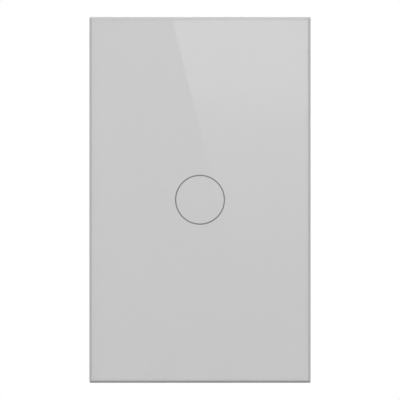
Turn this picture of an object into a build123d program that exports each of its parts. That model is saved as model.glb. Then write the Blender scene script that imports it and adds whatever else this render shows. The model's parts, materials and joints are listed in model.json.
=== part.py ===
from build123d import *
import math
import os

os.makedirs("parts", exist_ok=True)

# A one-gang glass touch switch that is screwed to a wall box.
# X runs to the right as seen from the front, Z runs up, and the front faces -Y.
# The origin is on the wall plane, midway between the two wall box screws.
# A depth is a Y value: negative in front of the wall plane, positive inside the box.

# Glass front
panel_width = 72.5
panel_height = 120.0
glass_thickness = 3.0
glass_edge_radius = 1.2
glass_corner_radius = 0.4
glass_back_chamfer = 0.25
coat_thickness = 0.1
adhesive_thickness = 0.2
ring_diameter = 16.0
ring_line_width = 0.4

# Frame behind the glass
panel_overhang = 0.5
frame_plate = 1.4
frame_wall = 1.4
frame_corner_radius = 1.0
frame_wall_gap = 0.4
pry_notch_width = 8.0
pry_notch_depth = 1.6
seat_post_radius = 1.5

# Light ring behind the printed ring
light_ring_width = 2.4
light_ring_flange = 1.3
light_ring_flange_thickness = 0.4

# Spring clips between the frame and the yoke
clip_strip = 0.3
clip_width = 8.0
clip_height = 24.0
clip_foot = 2.6
clip_nose = 0.9
clip_nose_rise = 0.5
clip_peg_radius = 0.6
clip_peg_stand = 0.3
clip_peg_spacing = 4.4

# Steel yoke
yoke_thickness = 1.2
yoke_joggle = 1.6
yoke_side_gap = 4.35
yoke_end_gap = 5.6
plate_corner_radius = 2.0
ear_width = 34.0
ear_corner_radius = 3.0
box_screw_spacing = 83.3
box_slot_width = 4.4
box_slot_length = 8.0

# Wall box screws
box_screw_radius = 1.75
box_screw_neck_radius = 1.4
box_screw_length = 20.0
box_screw_head_radius = 3.2
box_screw_head_height = 2.2

# Rear housing
housing_width = 47.0
housing_height = 62.0
housing_step = 2.6
housing_wall = 1.8
housing_back_wall = 2.0
housing_corner_radius = 2.0
housing_edge_radius = 0.8
rim_height = 1.2
lug_width = 6.2
lug_reach = 5.3
lug_depth = 6.6
lug_corner_radius = 2.0
plate_margin = 0.2
corner_column = 5.3
board_post_width = 4.8
vent_width = 1.2
vent_pitch = 3.2
vent_length = 13.0
vent_count = 5
side_vent_length = 8.0

# Fasteners of the housing and the boards
housing_screw_radius = 1.25
housing_screw_head_radius = 2.2
housing_screw_head_height = 1.6
housing_screw_length = 6.5
board_screw_radius = 1.0
board_screw_head_radius = 1.8
board_screw_head_height = 1.1
board_screw_length = 6.0
thread_clearance = 0.05

# Screw heads and tips, as shares of the radius or of the head's height
cross_span = 1.1
cross_width = 0.28
cross_depth = 0.6
cross_head_edge = 0.35
cross_tip_chamfer = 0.35
slot_span = 1.8
slot_width = 0.32
slot_depth = 0.5
slot_head_edge = 0.6
slot_tip_chamfer = 0.3
clamp_head_edge = 0.15
clamp_slot_width = 0.3
clamp_slot_depth = 0.55

# Touch board
touch_board_thickness = 1.2
touch_board_inset = 0.2
led_height = 0.8
led_width = 1.6
led_length = 0.8
led_count = 4
spring_radius = 3.5
spring_wire_radius = 0.225
spring_half_turns = 5
spring_samples_per_half_turn = 40
chip_height = 0.9
touch_chip_size = 5.0
touch_chip_drop = 14.5
resistor_length = 2.0
resistor_width = 1.25
resistor_count = 5
resistor_pitch = 3.0
module_width = 16.0
module_length = 23.0
module_thickness = 0.8
can_width = 12.0
can_length = 15.0
can_height = 2.2
can_wall = 0.2

# Pairing switch on the touch board
pairing_x = 12.5
pairing_z = -18.0
pairing_body = 4.2
pairing_body_height = 1.0
pairing_button_radius = 1.2
pairing_button_reach = 0.8
pairing_travel = 0.25
pairing_floor = 0.2
pairing_edge_radius = 0.2
pairing_hole_margin = 1.05

# Plug between the two boards
header_pins_per_row = 8
header_pitch = 2.54
header_width = 2.5
header_height = 2.5
header_pin = 0.64
header_pin_front = 0.5
header_pin_grip = 5.4
header_gap = 0.1

# Power board and its parts
power_board_front = 7.0
power_board_thickness = 1.6
part_gap = 1.2
can_edge = 0.12
fuse_radius = 4.0
fuse_height = 8.0
varistor_width = 9.0
varistor_thickness = 4.4
varistor_lift = 1.5
varistor_leg_radius = 0.3
film_capacitor_width = 13.0
film_capacitor_depth = 6.0
film_capacitor_height = 11.0
film_capacitor_edge_radius = 0.5
output_capacitor_radius = 3.15
output_capacitor_height = 9.0
main_capacitor_radius = 5.0
main_capacitor_height = 12.5
core_width = 13.0
core_height = 12.0
core_thickness = 6.0
core_leg = 3.2
core_window_width = 3.0
core_yoke = 2.4
bobbin_wall = 0.6
bobbin_flange = 0.7
winding_build = 2.0
winding_corner_radius = 1.0
bridge_width = 5.0
bridge_length = 6.5
bridge_height = 2.2
controller_width = 4.0
controller_length = 5.0
controller_height = 1.6

# Relay
relay_length = 18.2
relay_width = 10.2
relay_height = 12.6
relay_wall = 0.6
relay_base_thickness = 1.0
coil_radius = 4.1
coil_core_radius = 1.5
relay_iron = 1.0
relay_iron_width = 6.0
pole_thickness = 0.6
pole_radius = 3.2
armature_gap = 0.75
armature_thickness = 0.8
armature_tail = 1.9
armature_bead_radius = 0.4
contact_blade = 0.3
contact_radius = 1.0
contact_width = 5.0
contact_travel = 0.55

# Terminal block with four rising clamps
pole_count = 4
pole_pitch = 7.6
pole_side_wall = 1.4
wire_bore_radius = 1.85
entry_wall = 2.4
block_rear_wall = 4.2
block_roof = 1.0
block_inset = 0.6
block_step_gap = 1.0
block_clearance = 0.2
cage_width = 5.6
cage_corner_radius = 0.5
cage_depth = 6.0
cage_window_width = 4.2
cage_floor = 1.0
cage_roof = 1.6
cage_play = 0.2
cage_end_play = 0.4
cage_board_gap = 0.8
cage_rise = 2.8
clamp_screw_radius = 1.45
clamp_head_radius = 2.75
clamp_head_height = 1.7
clamp_driver_radius = 2.3
bar_width = 3.8
bar_thickness = 0.8
bar_play = 0.1
bar_leg_reach = 1.0
bar_bend_radius = 0.4

# Gaps between pieces
sliding_gap = 0.3
small_gap = 0.1
touching_gap = 0.05

# Depths, worked out from the wall plane towards the front
plate_back = -yoke_joggle
plate_front = plate_back - yoke_thickness
rim_front = plate_front - rim_height
touch_board_front = rim_front + touch_board_inset
touch_board_back = touch_board_front + touch_board_thickness
light_ring_back = touch_board_front - led_height - sliding_gap
frame_inside = light_ring_back - light_ring_flange_thickness
frame_front = frame_inside - frame_plate
coat_back = frame_front - adhesive_thickness
glass_back = coat_back - coat_thickness
skirt_back = -frame_wall_gap

# Depths, worked out from the power board towards the back
board_back = power_board_front + power_board_thickness
cage_bottom = board_back + cage_board_gap
clamp_floor = cage_bottom + cage_floor
clamp_height = 2 * wire_bore_radius + bar_thickness + bar_play
clamp_top = clamp_floor + clamp_height
cage_top = clamp_top + cage_roof
clamp_head_seat = cage_top + cage_rise + cage_play
clamp_head_back = clamp_head_seat + clamp_head_height
pole_roof = clamp_head_back + small_gap
block_back = pole_roof + block_roof
bar_back = clamp_top - bar_play
bar_front = bar_back - bar_thickness
wire_depth = clamp_floor + wire_bore_radius
housing_depth = block_back + housing_step
housing_inside = housing_depth - housing_back_wall
step_inside = block_back - housing_back_wall

# Widths and heights of the frame and the housing
frame_width = panel_width - 2 * panel_overhang
frame_height = panel_height - 2 * panel_overhang
yoke_width = frame_width - 2 * (frame_wall + yoke_side_gap)
yoke_height = frame_height - 2 * (frame_wall + yoke_end_gap)
inner_x = housing_width / 2 - housing_wall
inner_z = housing_height / 2 - housing_wall
window_width = housing_width + 2 * sliding_gap
window_height = housing_height + 2 * sliding_gap
box_screw_z = box_screw_spacing / 2
fold_low = box_screw_z - box_screw_head_radius - sliding_gap - yoke_joggle
lug_x = (housing_width - lug_width) / 2
lug_high = housing_height / 2 + lug_reach
lug_screw_z = housing_height / 2 + sliding_gap + housing_screw_head_radius
plate_half = lug_high + plate_margin
column_x = inner_x - corner_column / 2
column_z = inner_z - corner_column / 2
board_half_x = inner_x - sliding_gap
board_half_z = inner_z - sliding_gap

# Places along Z in the terminal block
block_low = -housing_height / 2 + block_inset
pole_low = block_low + entry_wall
cage_low = pole_low + cage_end_play
cage_high = cage_low + cage_depth
pole_high = cage_high + cage_end_play
block_high = pole_high + block_rear_wall
clamp_z = (cage_low + cage_high) / 2
bar_low = pole_low + small_gap
leg_high = block_high - block_rear_wall / 2 + bar_thickness / 2
leg_low = leg_high - bar_thickness
step_z = block_high + block_step_gap
pole_places = [(i - (pole_count - 1) / 2) * pole_pitch for i in range(pole_count)]
pole_width = cage_width + 2 * cage_play
block_half = (pole_count - 1) / 2 * pole_pitch + pole_width / 2 + pole_side_wall

# Places of the parts on the power board
relay_x = -inner_x + part_gap + relay_length / 2
relay_z = step_z + housing_wall + part_gap / 2 + relay_width / 2
relay_top = relay_z + relay_width / 2
fuse_x = relay_x + relay_length / 2 + part_gap + fuse_radius
varistor_x = fuse_x + fuse_radius + part_gap + varistor_thickness / 2
film_x = -inner_x + part_gap + film_capacitor_width / 2
film_z = relay_top + part_gap + film_capacitor_depth / 2
output_x = film_x + film_capacitor_width / 2 + part_gap + output_capacitor_radius
bobbin_half_z = core_thickness / 2 + bobbin_wall + winding_build + small_gap
core_x = output_x + output_capacitor_radius + part_gap + core_width / 2
core_z = relay_top + part_gap + bobbin_half_z
post_x = inner_x - board_post_width / 2
left_post_z = film_z + film_capacitor_depth / 2 + part_gap + board_post_width / 2
right_post_z = core_z + bobbin_half_z + part_gap + board_post_width / 2
main_x = -inner_x + corner_column + part_gap + main_capacitor_radius
main_z = left_post_z + board_post_width / 2 + part_gap + main_capacitor_radius
header_z = -inner_z + corner_column + part_gap + header_width / 2
bridge_z = core_z + bobbin_half_z + 2 * part_gap + bridge_length / 2
bridge_x = main_x + main_capacitor_radius + part_gap + bridge_width / 2
controller_x = bridge_x + bridge_width / 2 + part_gap + controller_width / 2

column_places = [(-column_x, -column_z), (column_x, -column_z), (-column_x, column_z), (column_x, column_z)]
post_places = [(-post_x, left_post_z), (post_x, right_post_z)]
lug_screw_places = [(x, z) for x in (-lug_x, lug_x) for z in (-lug_screw_z, lug_screw_z)]


def at_depth(depth):
    """The plane parallel to the wall at this depth; its normal points at the viewer."""
    return Plane.XZ.offset(-depth)


def at_height(height):
    """The level plane at this height."""
    return Plane.XY.offset(height)


def front_screws(places, seat, head_radius, head_height, radius, length):
    """Cross-head screws driven from the front, with the heads' undersides at seat."""
    recess = head_radius * cross_span
    blade = head_radius * cross_width
    with BuildPart() as screws:
        with BuildSketch(at_depth(seat)):
            with Locations(*places):
                Circle(head_radius)
        extrude(amount=head_height)
        fillet(screws.faces().group_by(Axis.Y)[0].edges(), head_height * cross_head_edge)
        with BuildSketch(at_depth(seat)):
            with Locations(*places):
                Circle(radius)
        extrude(amount=-length)
        chamfer(screws.faces().group_by(Axis.Y)[-1].edges(), radius * cross_tip_chamfer)
        with BuildSketch(at_depth(seat - head_height)):
            with Locations(*places):
                Rectangle(recess, blade)
                Rectangle(blade, recess)
        extrude(amount=-head_height * cross_depth, mode=Mode.SUBTRACT)
    return screws


# Glass panel: a plate with a rounded front edge
with BuildPart() as glass_panel:
    with BuildSketch(at_depth(glass_back)):
        Rectangle(panel_width, panel_height)
    extrude(amount=glass_thickness)
    fillet(glass_panel.edges().filter_by(Axis.Y), glass_corner_radius)
    fillet(glass_panel.faces().sort_by(Axis.Y)[0].edges(), glass_edge_radius)
    chamfer(glass_panel.faces().sort_by(Axis.Y)[-1].edges(), glass_back_chamfer)
glass_panel.part.label = "glass_panel"
export_step(glass_panel.part, "parts/glass_panel.step")

# Printed coat on the back of the glass, open along the ring line
ring_outer = (ring_diameter + ring_line_width) / 2
ring_inner = (ring_diameter - ring_line_width) / 2
with BuildPart() as printed_coat:
    with BuildSketch(at_depth(coat_back)):
        Rectangle(panel_width - 2 * glass_back_chamfer, panel_height - 2 * glass_back_chamfer)
        Circle(ring_outer, mode=Mode.SUBTRACT)
        Circle(ring_inner)
    extrude(amount=coat_thickness)
printed_coat.part.label = "printed_coat"
export_step(printed_coat.part, "parts/printed_coat.step")

# Translucent ring printed in the gap of the coat
with BuildPart() as ring_print:
    with BuildSketch(at_depth(coat_back)):
        Circle(ring_outer)
        Circle(ring_inner, mode=Mode.SUBTRACT)
    extrude(amount=coat_thickness)
ring_print.part.label = "ring_print"
export_step(ring_print.part, "parts/ring_print.step")

# Light ring: clear acrylic, with its nose against the coat and its flange behind the frame
light_ring_inner = (ring_diameter - light_ring_width) / 2
light_ring_outer = (ring_diameter + light_ring_width) / 2
with BuildPart() as light_ring:
    with BuildSketch(at_depth(light_ring_back)):
        Circle(light_ring_outer + light_ring_flange)
        Circle(light_ring_inner, mode=Mode.SUBTRACT)
    extrude(amount=light_ring_flange_thickness)
    with BuildSketch(at_depth(frame_inside)):
        Circle(light_ring_outer)
        Circle(light_ring_inner, mode=Mode.SUBTRACT)
    extrude(amount=frame_inside - coat_back)
light_ring.part.label = "light_ring"
export_step(light_ring.part, "parts/light_ring.step")

# Adhesive sheet between the coat and the frame
with BuildPart() as adhesive_sheet:
    with BuildSketch(at_depth(frame_front)):
        RectangleRounded(frame_width - 2 * frame_wall, frame_height - 2 * frame_wall, frame_corner_radius)
        Circle(light_ring_outer + sliding_gap, mode=Mode.SUBTRACT)
    extrude(amount=adhesive_thickness)
adhesive_sheet.part.label = "adhesive_sheet"
export_step(adhesive_sheet.part, "parts/adhesive_sheet.step")

# Panel frame: a shallow tray with seats on the yoke and pegs for the clips
clip_x = yoke_width / 2 + sliding_gap
clip_foot_x = clip_x + clip_foot / 2
seat_post_x = (yoke_width + window_width) / 4
seat_post_z = clip_height / 2
clip_pegs = [
    (side * (clip_foot_x + clip_strip / 2), end * clip_height + step * clip_peg_spacing / 2)
    for side in (-1, 1)
    for end in (-1, 1)
    for step in (-1, 1)
]
with BuildPart() as panel_frame:
    with BuildSketch(at_depth(skirt_back)):
        RectangleRounded(frame_width, frame_height, frame_corner_radius)
    extrude(amount=skirt_back - frame_front)
    with BuildSketch(at_depth(skirt_back)):
        Rectangle(frame_width - 2 * frame_wall, frame_height - 2 * frame_wall)
    extrude(amount=skirt_back - frame_inside, mode=Mode.SUBTRACT)
    with BuildSketch(at_depth(frame_inside)):
        Circle(light_ring_outer + small_gap)
        with Locations((pairing_x, pairing_z)):
            Circle(pairing_body / 2 + pairing_hole_margin)
    extrude(amount=frame_plate, mode=Mode.SUBTRACT)
    with BuildSketch(at_depth(plate_front - touching_gap)):
        with GridLocations(2 * seat_post_x, 2 * seat_post_z, 2, 2):
            Circle(seat_post_radius)
    extrude(amount=plate_front - touching_gap - frame_inside)
    with BuildSketch(at_depth(frame_inside)):
        with Locations(*clip_pegs):
            Circle(clip_peg_radius)
    extrude(amount=-(clip_strip + clip_peg_stand))
    with BuildSketch(at_depth(skirt_back)):
        with Locations((0, -frame_height / 2)):
            Rectangle(pry_notch_width, 2 * frame_wall)
    extrude(amount=pry_notch_depth, mode=Mode.SUBTRACT)
panel_frame.part.label = "panel_frame"
export_step(panel_frame.part, "parts/panel_frame.step")

# Spring clips: bent steel strips, staked to the frame, that snap behind the yoke's side edges
nose_top = plate_back + small_gap
nose_tip = plate_back + clip_nose_rise
nose_end = -sliding_gap
with BuildPart() as panel_spring_clips:
    with BuildSketch(at_height(clip_height - clip_width / 2)):
        with BuildLine():
            Polyline(
                (clip_x + clip_foot, frame_inside),
                (clip_x + clip_foot, frame_inside + clip_strip),
                (clip_x + clip_strip, frame_inside + clip_strip),
                (clip_x + clip_strip, nose_top),
                (clip_x + clip_strip - clip_nose, nose_tip),
                (clip_x + clip_strip, nose_end),
                (clip_x, nose_end),
                (clip_x - clip_nose, nose_tip),
                (clip_x, nose_top),
                (clip_x, frame_inside),
                close=True,
            )
        make_face()
    extrude(amount=clip_width)
    with BuildSketch(at_depth(frame_inside)):
        with Locations(*clip_pegs):
            Circle(clip_peg_radius + touching_gap)
    extrude(amount=-clip_strip, mode=Mode.SUBTRACT)
    mirror(about=Plane.XY)
    mirror(about=Plane.YZ)
panel_spring_clips.part.label = "panel_spring_clips"
export_step(panel_spring_clips.part, "parts/panel_spring_clips.step")

# Yoke: one pressed steel sheet, a flat plate whose two ears step back to the wall
with BuildPart() as yoke:
    with BuildSketch(at_depth(plate_back)):
        RectangleRounded(yoke_width, 2 * plate_half, plate_corner_radius)
    extrude(amount=yoke_thickness)
    with BuildSketch(Plane.YZ.offset(-ear_width / 2)):
        with BuildLine():
            Polyline(
                (plate_front, 0),
                (plate_front, fold_low),
                (-yoke_thickness, fold_low + yoke_joggle),
                (-yoke_thickness, yoke_height / 2),
                (0, yoke_height / 2),
                (0, fold_low + yoke_joggle),
                (plate_back, fold_low),
                (plate_back, 0),
                close=True,
            )
        make_face()
        mirror(about=Plane.XZ)
    extrude(amount=ear_width)
    fillet(yoke.edges().filter_by(Axis.Y).group_by(SortBy.DISTANCE)[-1], ear_corner_radius)
    with BuildSketch(at_depth(0)):
        Rectangle(window_width, window_height)
        with Locations((0, -box_screw_z), (0, box_screw_z)):
            SlotOverall(box_slot_length, box_slot_width)
        with Locations(*lug_screw_places):
            Circle(housing_screw_radius + touching_gap)
    extrude(amount=-plate_front, mode=Mode.SUBTRACT)
yoke.part.label = "yoke"
export_step(yoke.part, "parts/yoke.step")

# Rear housing: a deep tray with four lugs, corner columns, a stepped back and vents
with BuildPart() as rear_housing:
    with BuildSketch(at_depth(housing_depth)):
        RectangleRounded(housing_width, housing_height, housing_corner_radius)
    extrude(amount=housing_depth - rim_front)
    with BuildSketch(at_depth(housing_depth)):
        with Locations((0, step_z)):
            Rectangle(2 * housing_width, housing_height, align=(Align.CENTER, Align.MAX))
    extrude(amount=housing_depth - block_back, mode=Mode.SUBTRACT)
    fillet(rear_housing.edges().filter_by(Axis.Y, reverse=True).group_by(Axis.Y)[-1], housing_edge_radius)
    with BuildSketch(at_depth(plate_back + lug_depth)):
        with Locations((-lug_x, 0), (lug_x, 0)):
            RectangleRounded(lug_width, 2 * lug_high, lug_corner_radius)
    extrude(amount=lug_depth)
    with BuildSketch(at_depth(step_inside)):
        Rectangle(2 * inner_x, 2 * inner_z)
    extrude(amount=step_inside - rim_front, mode=Mode.SUBTRACT)
    with BuildSketch(at_depth(housing_inside)):
        with Locations((0, inner_z)):
            Rectangle(2 * inner_x, inner_z - step_z - housing_wall, align=(Align.CENTER, Align.MAX))
    extrude(amount=housing_inside - rim_front, mode=Mode.SUBTRACT)
    with BuildSketch(at_depth(block_back)):
        with Locations(*column_places):
            Rectangle(corner_column, corner_column)
    extrude(amount=block_back - touch_board_back)
    with BuildSketch(at_depth(housing_inside)):
        with Locations(*post_places):
            Rectangle(board_post_width, board_post_width)
    extrude(amount=housing_inside - board_back)
    with BuildSketch(at_depth(housing_inside)):
        with GridLocations(2 * column_x, 2 * column_z, 2, 1):
            with Locations((0, column_z)):
                Rectangle(corner_column, corner_column)
    extrude(amount=housing_inside - block_back)
    with BuildSketch(at_depth(block_back)):
        with Locations((0, block_high + block_clearance)):
            Rectangle(
                2 * (block_half + block_clearance), housing_height, align=(Align.CENTER, Align.MAX)
            )
    extrude(amount=block_back - board_back + block_clearance, mode=Mode.SUBTRACT)
    with BuildSketch(at_depth(touch_board_back)):
        with Locations(*column_places):
            Circle(board_screw_radius + thread_clearance)
    extrude(amount=-board_screw_length, mode=Mode.SUBTRACT)
    with BuildSketch(at_depth(board_back)):
        with Locations(*post_places):
            Circle(board_screw_radius + thread_clearance)
    extrude(amount=-board_screw_length, mode=Mode.SUBTRACT)
    with BuildSketch(at_depth(plate_back)):
        with Locations(*lug_screw_places):
            Circle(housing_screw_radius + thread_clearance)
    extrude(amount=-housing_screw_length, mode=Mode.SUBTRACT)
    with BuildSketch(at_depth(housing_depth)):
        with Locations((0, core_z + bobbin_half_z)):
            with GridLocations(vent_length + part_gap, vent_pitch, 2, vent_count):
                SlotOverall(vent_length, vent_width)
    extrude(amount=housing_back_wall, mode=Mode.SUBTRACT)
    with BuildSketch(Plane.YZ.offset(-housing_width)):
        with Locations(((board_back + housing_inside) / 2, main_z)):
            with GridLocations(1, vent_pitch, 1, vent_count - 2):
                SlotOverall(side_vent_length, vent_width)
    extrude(amount=2 * housing_width, mode=Mode.SUBTRACT)
rear_housing.part.label = "rear_housing"
export_step(rear_housing.part, "parts/rear_housing.step")

housing_screws = front_screws(
    lug_screw_places,
    plate_front,
    housing_screw_head_radius,
    housing_screw_head_height,
    housing_screw_radius,
    housing_screw_length,
)
housing_screws.part.label = "housing_screws"
export_step(housing_screws.part, "parts/housing_screws.step")

# Touch board, seated on the four corner columns
with BuildPart() as touch_board:
    with BuildSketch(at_depth(touch_board_back)):
        Rectangle(2 * board_half_x, 2 * board_half_z)
        with Locations(*column_places):
            Circle(board_screw_radius + small_gap, mode=Mode.SUBTRACT)
        with Locations((0, header_z)):
            with GridLocations(header_pitch, 1, header_pins_per_row, 1):
                Rectangle(header_pin + small_gap, header_pin + small_gap, mode=Mode.SUBTRACT)
    extrude(amount=touch_board_thickness)
touch_board.part.label = "touch_board"
export_step(touch_board.part, "parts/touch_board.step")

touch_board_screws = front_screws(
    column_places,
    touch_board_front,
    board_screw_head_radius,
    board_screw_head_height,
    board_screw_radius,
    board_screw_length,
)
touch_board_screws.part.label = "touch_board_screws"
export_step(touch_board_screws.part, "parts/touch_board_screws.step")


def biarc(start, start_way, end, end_way):
    """Two arcs that leave start and reach end in the given directions, with one tangent between them."""
    chord = end - start
    ways = start_way + end_way
    a = 2 * (1 - start_way.dot(end_way))
    b = 2 * chord.dot(ways)
    reach = (math.sqrt(b * b + 4 * a * chord.dot(chord)) - b) / (2 * a)
    first_knee = start + start_way * reach
    second_knee = end - end_way * reach
    joint = (first_knee + second_knee) / 2
    TangentArc(start, joint, tangent=start_way)
    TangentArc(joint, end, tangent=second_knee - first_knee)


# Touch spring: one wire coil between the touch board and the coat
spring_line_radius = spring_radius - spring_wire_radius
spring_low = touch_board_front - spring_wire_radius
spring_high = coat_back + spring_wire_radius + touching_gap
spring_step = (spring_high - spring_low) / spring_half_turns
spring_rise = math.atan2(-spring_step, math.pi * spring_line_radius)


def spring_point(half_turn):
    """A point on the coil's line, counted in half turns from the board."""
    turn = math.pi * half_turn
    return Vector(
        spring_line_radius * math.cos(turn),
        spring_low + spring_step * half_turn,
        spring_line_radius * math.sin(turn),
    )


def spring_way(half_turn):
    """The direction of the coil's line at that point."""
    turn = math.pi * half_turn
    level = math.cos(spring_rise)
    return Vector(-level * math.sin(turn), -math.sin(spring_rise), level * math.cos(turn))


with BuildPart() as touch_spring:
    with BuildLine() as spring_line:
        for i in range(spring_half_turns):
            biarc(spring_point(i), spring_way(i), spring_point(i + 1), spring_way(i + 1))
    with BuildSketch(Plane(origin=spring_point(0), z_dir=spring_way(0))):
        Circle(spring_wire_radius)
    sweep()
spring_sample_count = spring_half_turns * spring_samples_per_half_turn
spring_samples = [spring_line.wire() @ (i / spring_sample_count) for i in range(spring_sample_count + 1)]
spring_gap = min(
    (spring_samples[i] - spring_samples[j]).length
    for i in range(len(spring_samples))
    for j in range(i + spring_samples_per_half_turn, len(spring_samples))
)
print("touch spring: least gap between turns", round(spring_gap - 2 * spring_wire_radius, 2))
touch_spring.part.label = "touch_spring"
export_step(touch_spring.part, "parts/touch_spring.step")

# Indicator lamps under the light ring
with BuildPart() as ring_leds:
    with BuildSketch(at_depth(touch_board_front)):
        with PolarLocations(ring_diameter / 2, led_count, start_angle=180 / led_count):
            Rectangle(led_length, led_width)
    extrude(amount=led_height)
ring_leds.part.label = "ring_leds"
export_step(ring_leds.part, "parts/ring_leds.step")

# Touch chip and its row of resistors
with BuildPart() as touch_chips:
    with BuildSketch(at_depth(touch_board_front)):
        with Locations((0, -touch_chip_drop)):
            Rectangle(touch_chip_size, touch_chip_size)
        with Locations((0, touch_chip_drop)):
            with GridLocations(resistor_pitch, 1, resistor_count, 1):
                Rectangle(resistor_width, resistor_length)
    extrude(amount=chip_height)
touch_chips.part.label = "touch_chips"
export_step(touch_chips.part, "parts/touch_chips.step")

# Radio module on the back of the touch board, under a folded steel can
module_x = -inner_x + corner_column + part_gap + module_width / 2
module_z = inner_z - corner_column + part_gap - module_length / 2
module_back = touch_board_back + module_thickness
with BuildPart() as wifi_module_board:
    with BuildSketch(at_depth(module_back)):
        with Locations((module_x, module_z)):
            Rectangle(module_width, module_length)
    extrude(amount=module_thickness)
wifi_module_board.part.label = "wifi_module_board"
export_step(wifi_module_board.part, "parts/wifi_module_board.step")

can_z = module_z - (module_length - can_length) / 2 + part_gap
with BuildPart() as wifi_shield_can:
    with BuildSketch(at_depth(module_back)):
        with Locations((module_x, can_z)):
            Rectangle(can_width, can_length)
    extrude(amount=-can_height)
    fillet(wifi_shield_can.edges().filter_by(Axis.Y), 2 * can_wall)
    with BuildSketch(at_depth(module_back)):
        with Locations((module_x, can_z)):
            Rectangle(can_width - 2 * can_wall, can_length - 2 * can_wall)
    extrude(amount=-(can_height - can_wall), mode=Mode.SUBTRACT)
wifi_shield_can.part.label = "wifi_shield_can"
export_step(wifi_shield_can.part, "parts/wifi_shield_can.step")

# Pairing switch: a square body with a round well, and the button that moves in it
pairing_front = touch_board_front - pairing_body_height
well_floor = touch_board_front - pairing_floor
with BuildPart() as pairing_switch_body:
    with BuildSketch(at_depth(touch_board_front)):
        with Locations((pairing_x, pairing_z)):
            Rectangle(pairing_body, pairing_body)
    extrude(amount=pairing_body_height)
    with BuildSketch(at_depth(well_floor)):
        with Locations((pairing_x, pairing_z)):
            Circle(pairing_button_radius + small_gap)
    extrude(amount=pairing_body_height, mode=Mode.SUBTRACT)
pairing_switch_body.part.label = "pairing_switch_body"
export_step(pairing_switch_body.part, "parts/pairing_switch_body.step")

with BuildPart() as pairing_button:
    with BuildSketch(at_depth(well_floor - pairing_travel - touching_gap)):
        with Locations((pairing_x, pairing_z)):
            Circle(pairing_button_radius)
    extrude(amount=well_floor - pairing_travel - touching_gap - pairing_front + pairing_button_reach)
    fillet(pairing_button.faces().sort_by(Axis.Y)[0].edges(), pairing_edge_radius)
pairing_button.part.label = "pairing_button"
export_step(pairing_button.part, "parts/pairing_button.step")

# Plug between the boards: header body, its pins, and the socket on the power board
header_back = touch_board_back + header_height
socket_front = header_back + header_gap
with BuildPart() as board_header:
    with BuildSketch(at_depth(header_back)):
        with Locations((0, header_z)):
            Rectangle(header_pins_per_row * header_pitch, header_width)
            with GridLocations(header_pitch, 1, header_pins_per_row, 1):
                Rectangle(header_pin + small_gap, header_pin + small_gap, mode=Mode.SUBTRACT)
    extrude(amount=header_height)
board_header.part.label = "board_header"
export_step(board_header.part, "parts/board_header.step")

with BuildPart() as header_pins:
    with BuildSketch(at_depth(touch_board_front - header_pin_front)):
        with Locations((0, header_z)):
            with GridLocations(header_pitch, 1, header_pins_per_row, 1):
                Rectangle(header_pin, header_pin)
    extrude(amount=-(socket_front + header_pin_grip - touch_board_front + header_pin_front))
    chamfer(header_pins.faces().group_by(Axis.Y)[-1].edges(), header_pin / 4)
header_pins.part.label = "header_pins"
export_step(header_pins.part, "parts/header_pins.step")

with BuildPart() as header_socket:
    with BuildSketch(at_depth(power_board_front)):
        with Locations((0, header_z)):
            Rectangle(header_pins_per_row * header_pitch, header_width)
    extrude(amount=power_board_front - socket_front)
    with BuildSketch(at_depth(socket_front)):
        with Locations((0, header_z)):
            with GridLocations(header_pitch, 1, header_pins_per_row, 1):
                Rectangle(header_pin + small_gap, header_pin + small_gap)
    extrude(amount=-(header_pin_grip + small_gap), mode=Mode.SUBTRACT)
header_socket.part.label = "header_socket"
export_step(header_socket.part, "parts/header_socket.step")

# Power board, notched round the columns and slotted for the terminal legs
with BuildPart() as power_board:
    with BuildSketch(at_depth(board_back)):
        Rectangle(2 * board_half_x, 2 * board_half_z)
        with Locations(*column_places):
            Rectangle(
                corner_column + 2 * sliding_gap, corner_column + 2 * sliding_gap, mode=Mode.SUBTRACT
            )
        with Locations(*post_places):
            Circle(board_screw_radius + small_gap, mode=Mode.SUBTRACT)
        with Locations(*[(x, (leg_low + leg_high) / 2) for x in pole_places]):
            Rectangle(bar_width + 2 * small_gap, bar_thickness + 2 * small_gap, mode=Mode.SUBTRACT)
    extrude(amount=power_board_thickness)
power_board.part.label = "power_board"
export_step(power_board.part, "parts/power_board.step")

power_board_screws = front_screws(
    post_places,
    power_board_front,
    board_screw_head_radius,
    board_screw_head_height,
    board_screw_radius,
    board_screw_length,
)
power_board_screws.part.label = "power_board_screws"
export_step(power_board_screws.part, "parts/power_board_screws.step")

# Terminal block: open-bottomed poles with a wire entry and a driver hole each
with BuildPart() as terminal_block:
    with BuildSketch(at_depth(board_back)):
        with Locations((0, (block_low + block_high) / 2)):
            Rectangle(2 * block_half, block_high - block_low)
    extrude(amount=-(block_back - board_back))
    fillet(terminal_block.edges().filter_by(Axis.Z).group_by(Axis.Y)[-1], block_roof / 2)
    with BuildSketch(at_depth(board_back)):
        with Locations(*[(x, (pole_low + pole_high) / 2) for x in pole_places]):
            Rectangle(pole_width, pole_high - pole_low)
    extrude(amount=-(pole_roof - board_back), mode=Mode.SUBTRACT)
    with BuildSketch(at_depth(board_back)):
        with Locations(*[(x, leg_high + small_gap) for x in pole_places]):
            Rectangle(bar_width + 2 * small_gap, block_rear_wall, align=(Align.CENTER, Align.MAX))
    extrude(amount=-(bar_back - board_back), mode=Mode.SUBTRACT)
    with BuildSketch(at_height(block_low)):
        with Locations(*[(x, wire_depth) for x in pole_places]):
            Circle(wire_bore_radius)
    extrude(amount=entry_wall, mode=Mode.SUBTRACT)
    with BuildSketch(at_depth(block_back)):
        with Locations(*[(x, clamp_z) for x in pole_places]):
            Circle(clamp_driver_radius)
    extrude(amount=block_roof, mode=Mode.SUBTRACT)
terminal_block.part.label = "terminal_block"
export_step(terminal_block.part, "parts/terminal_block.step")

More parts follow.
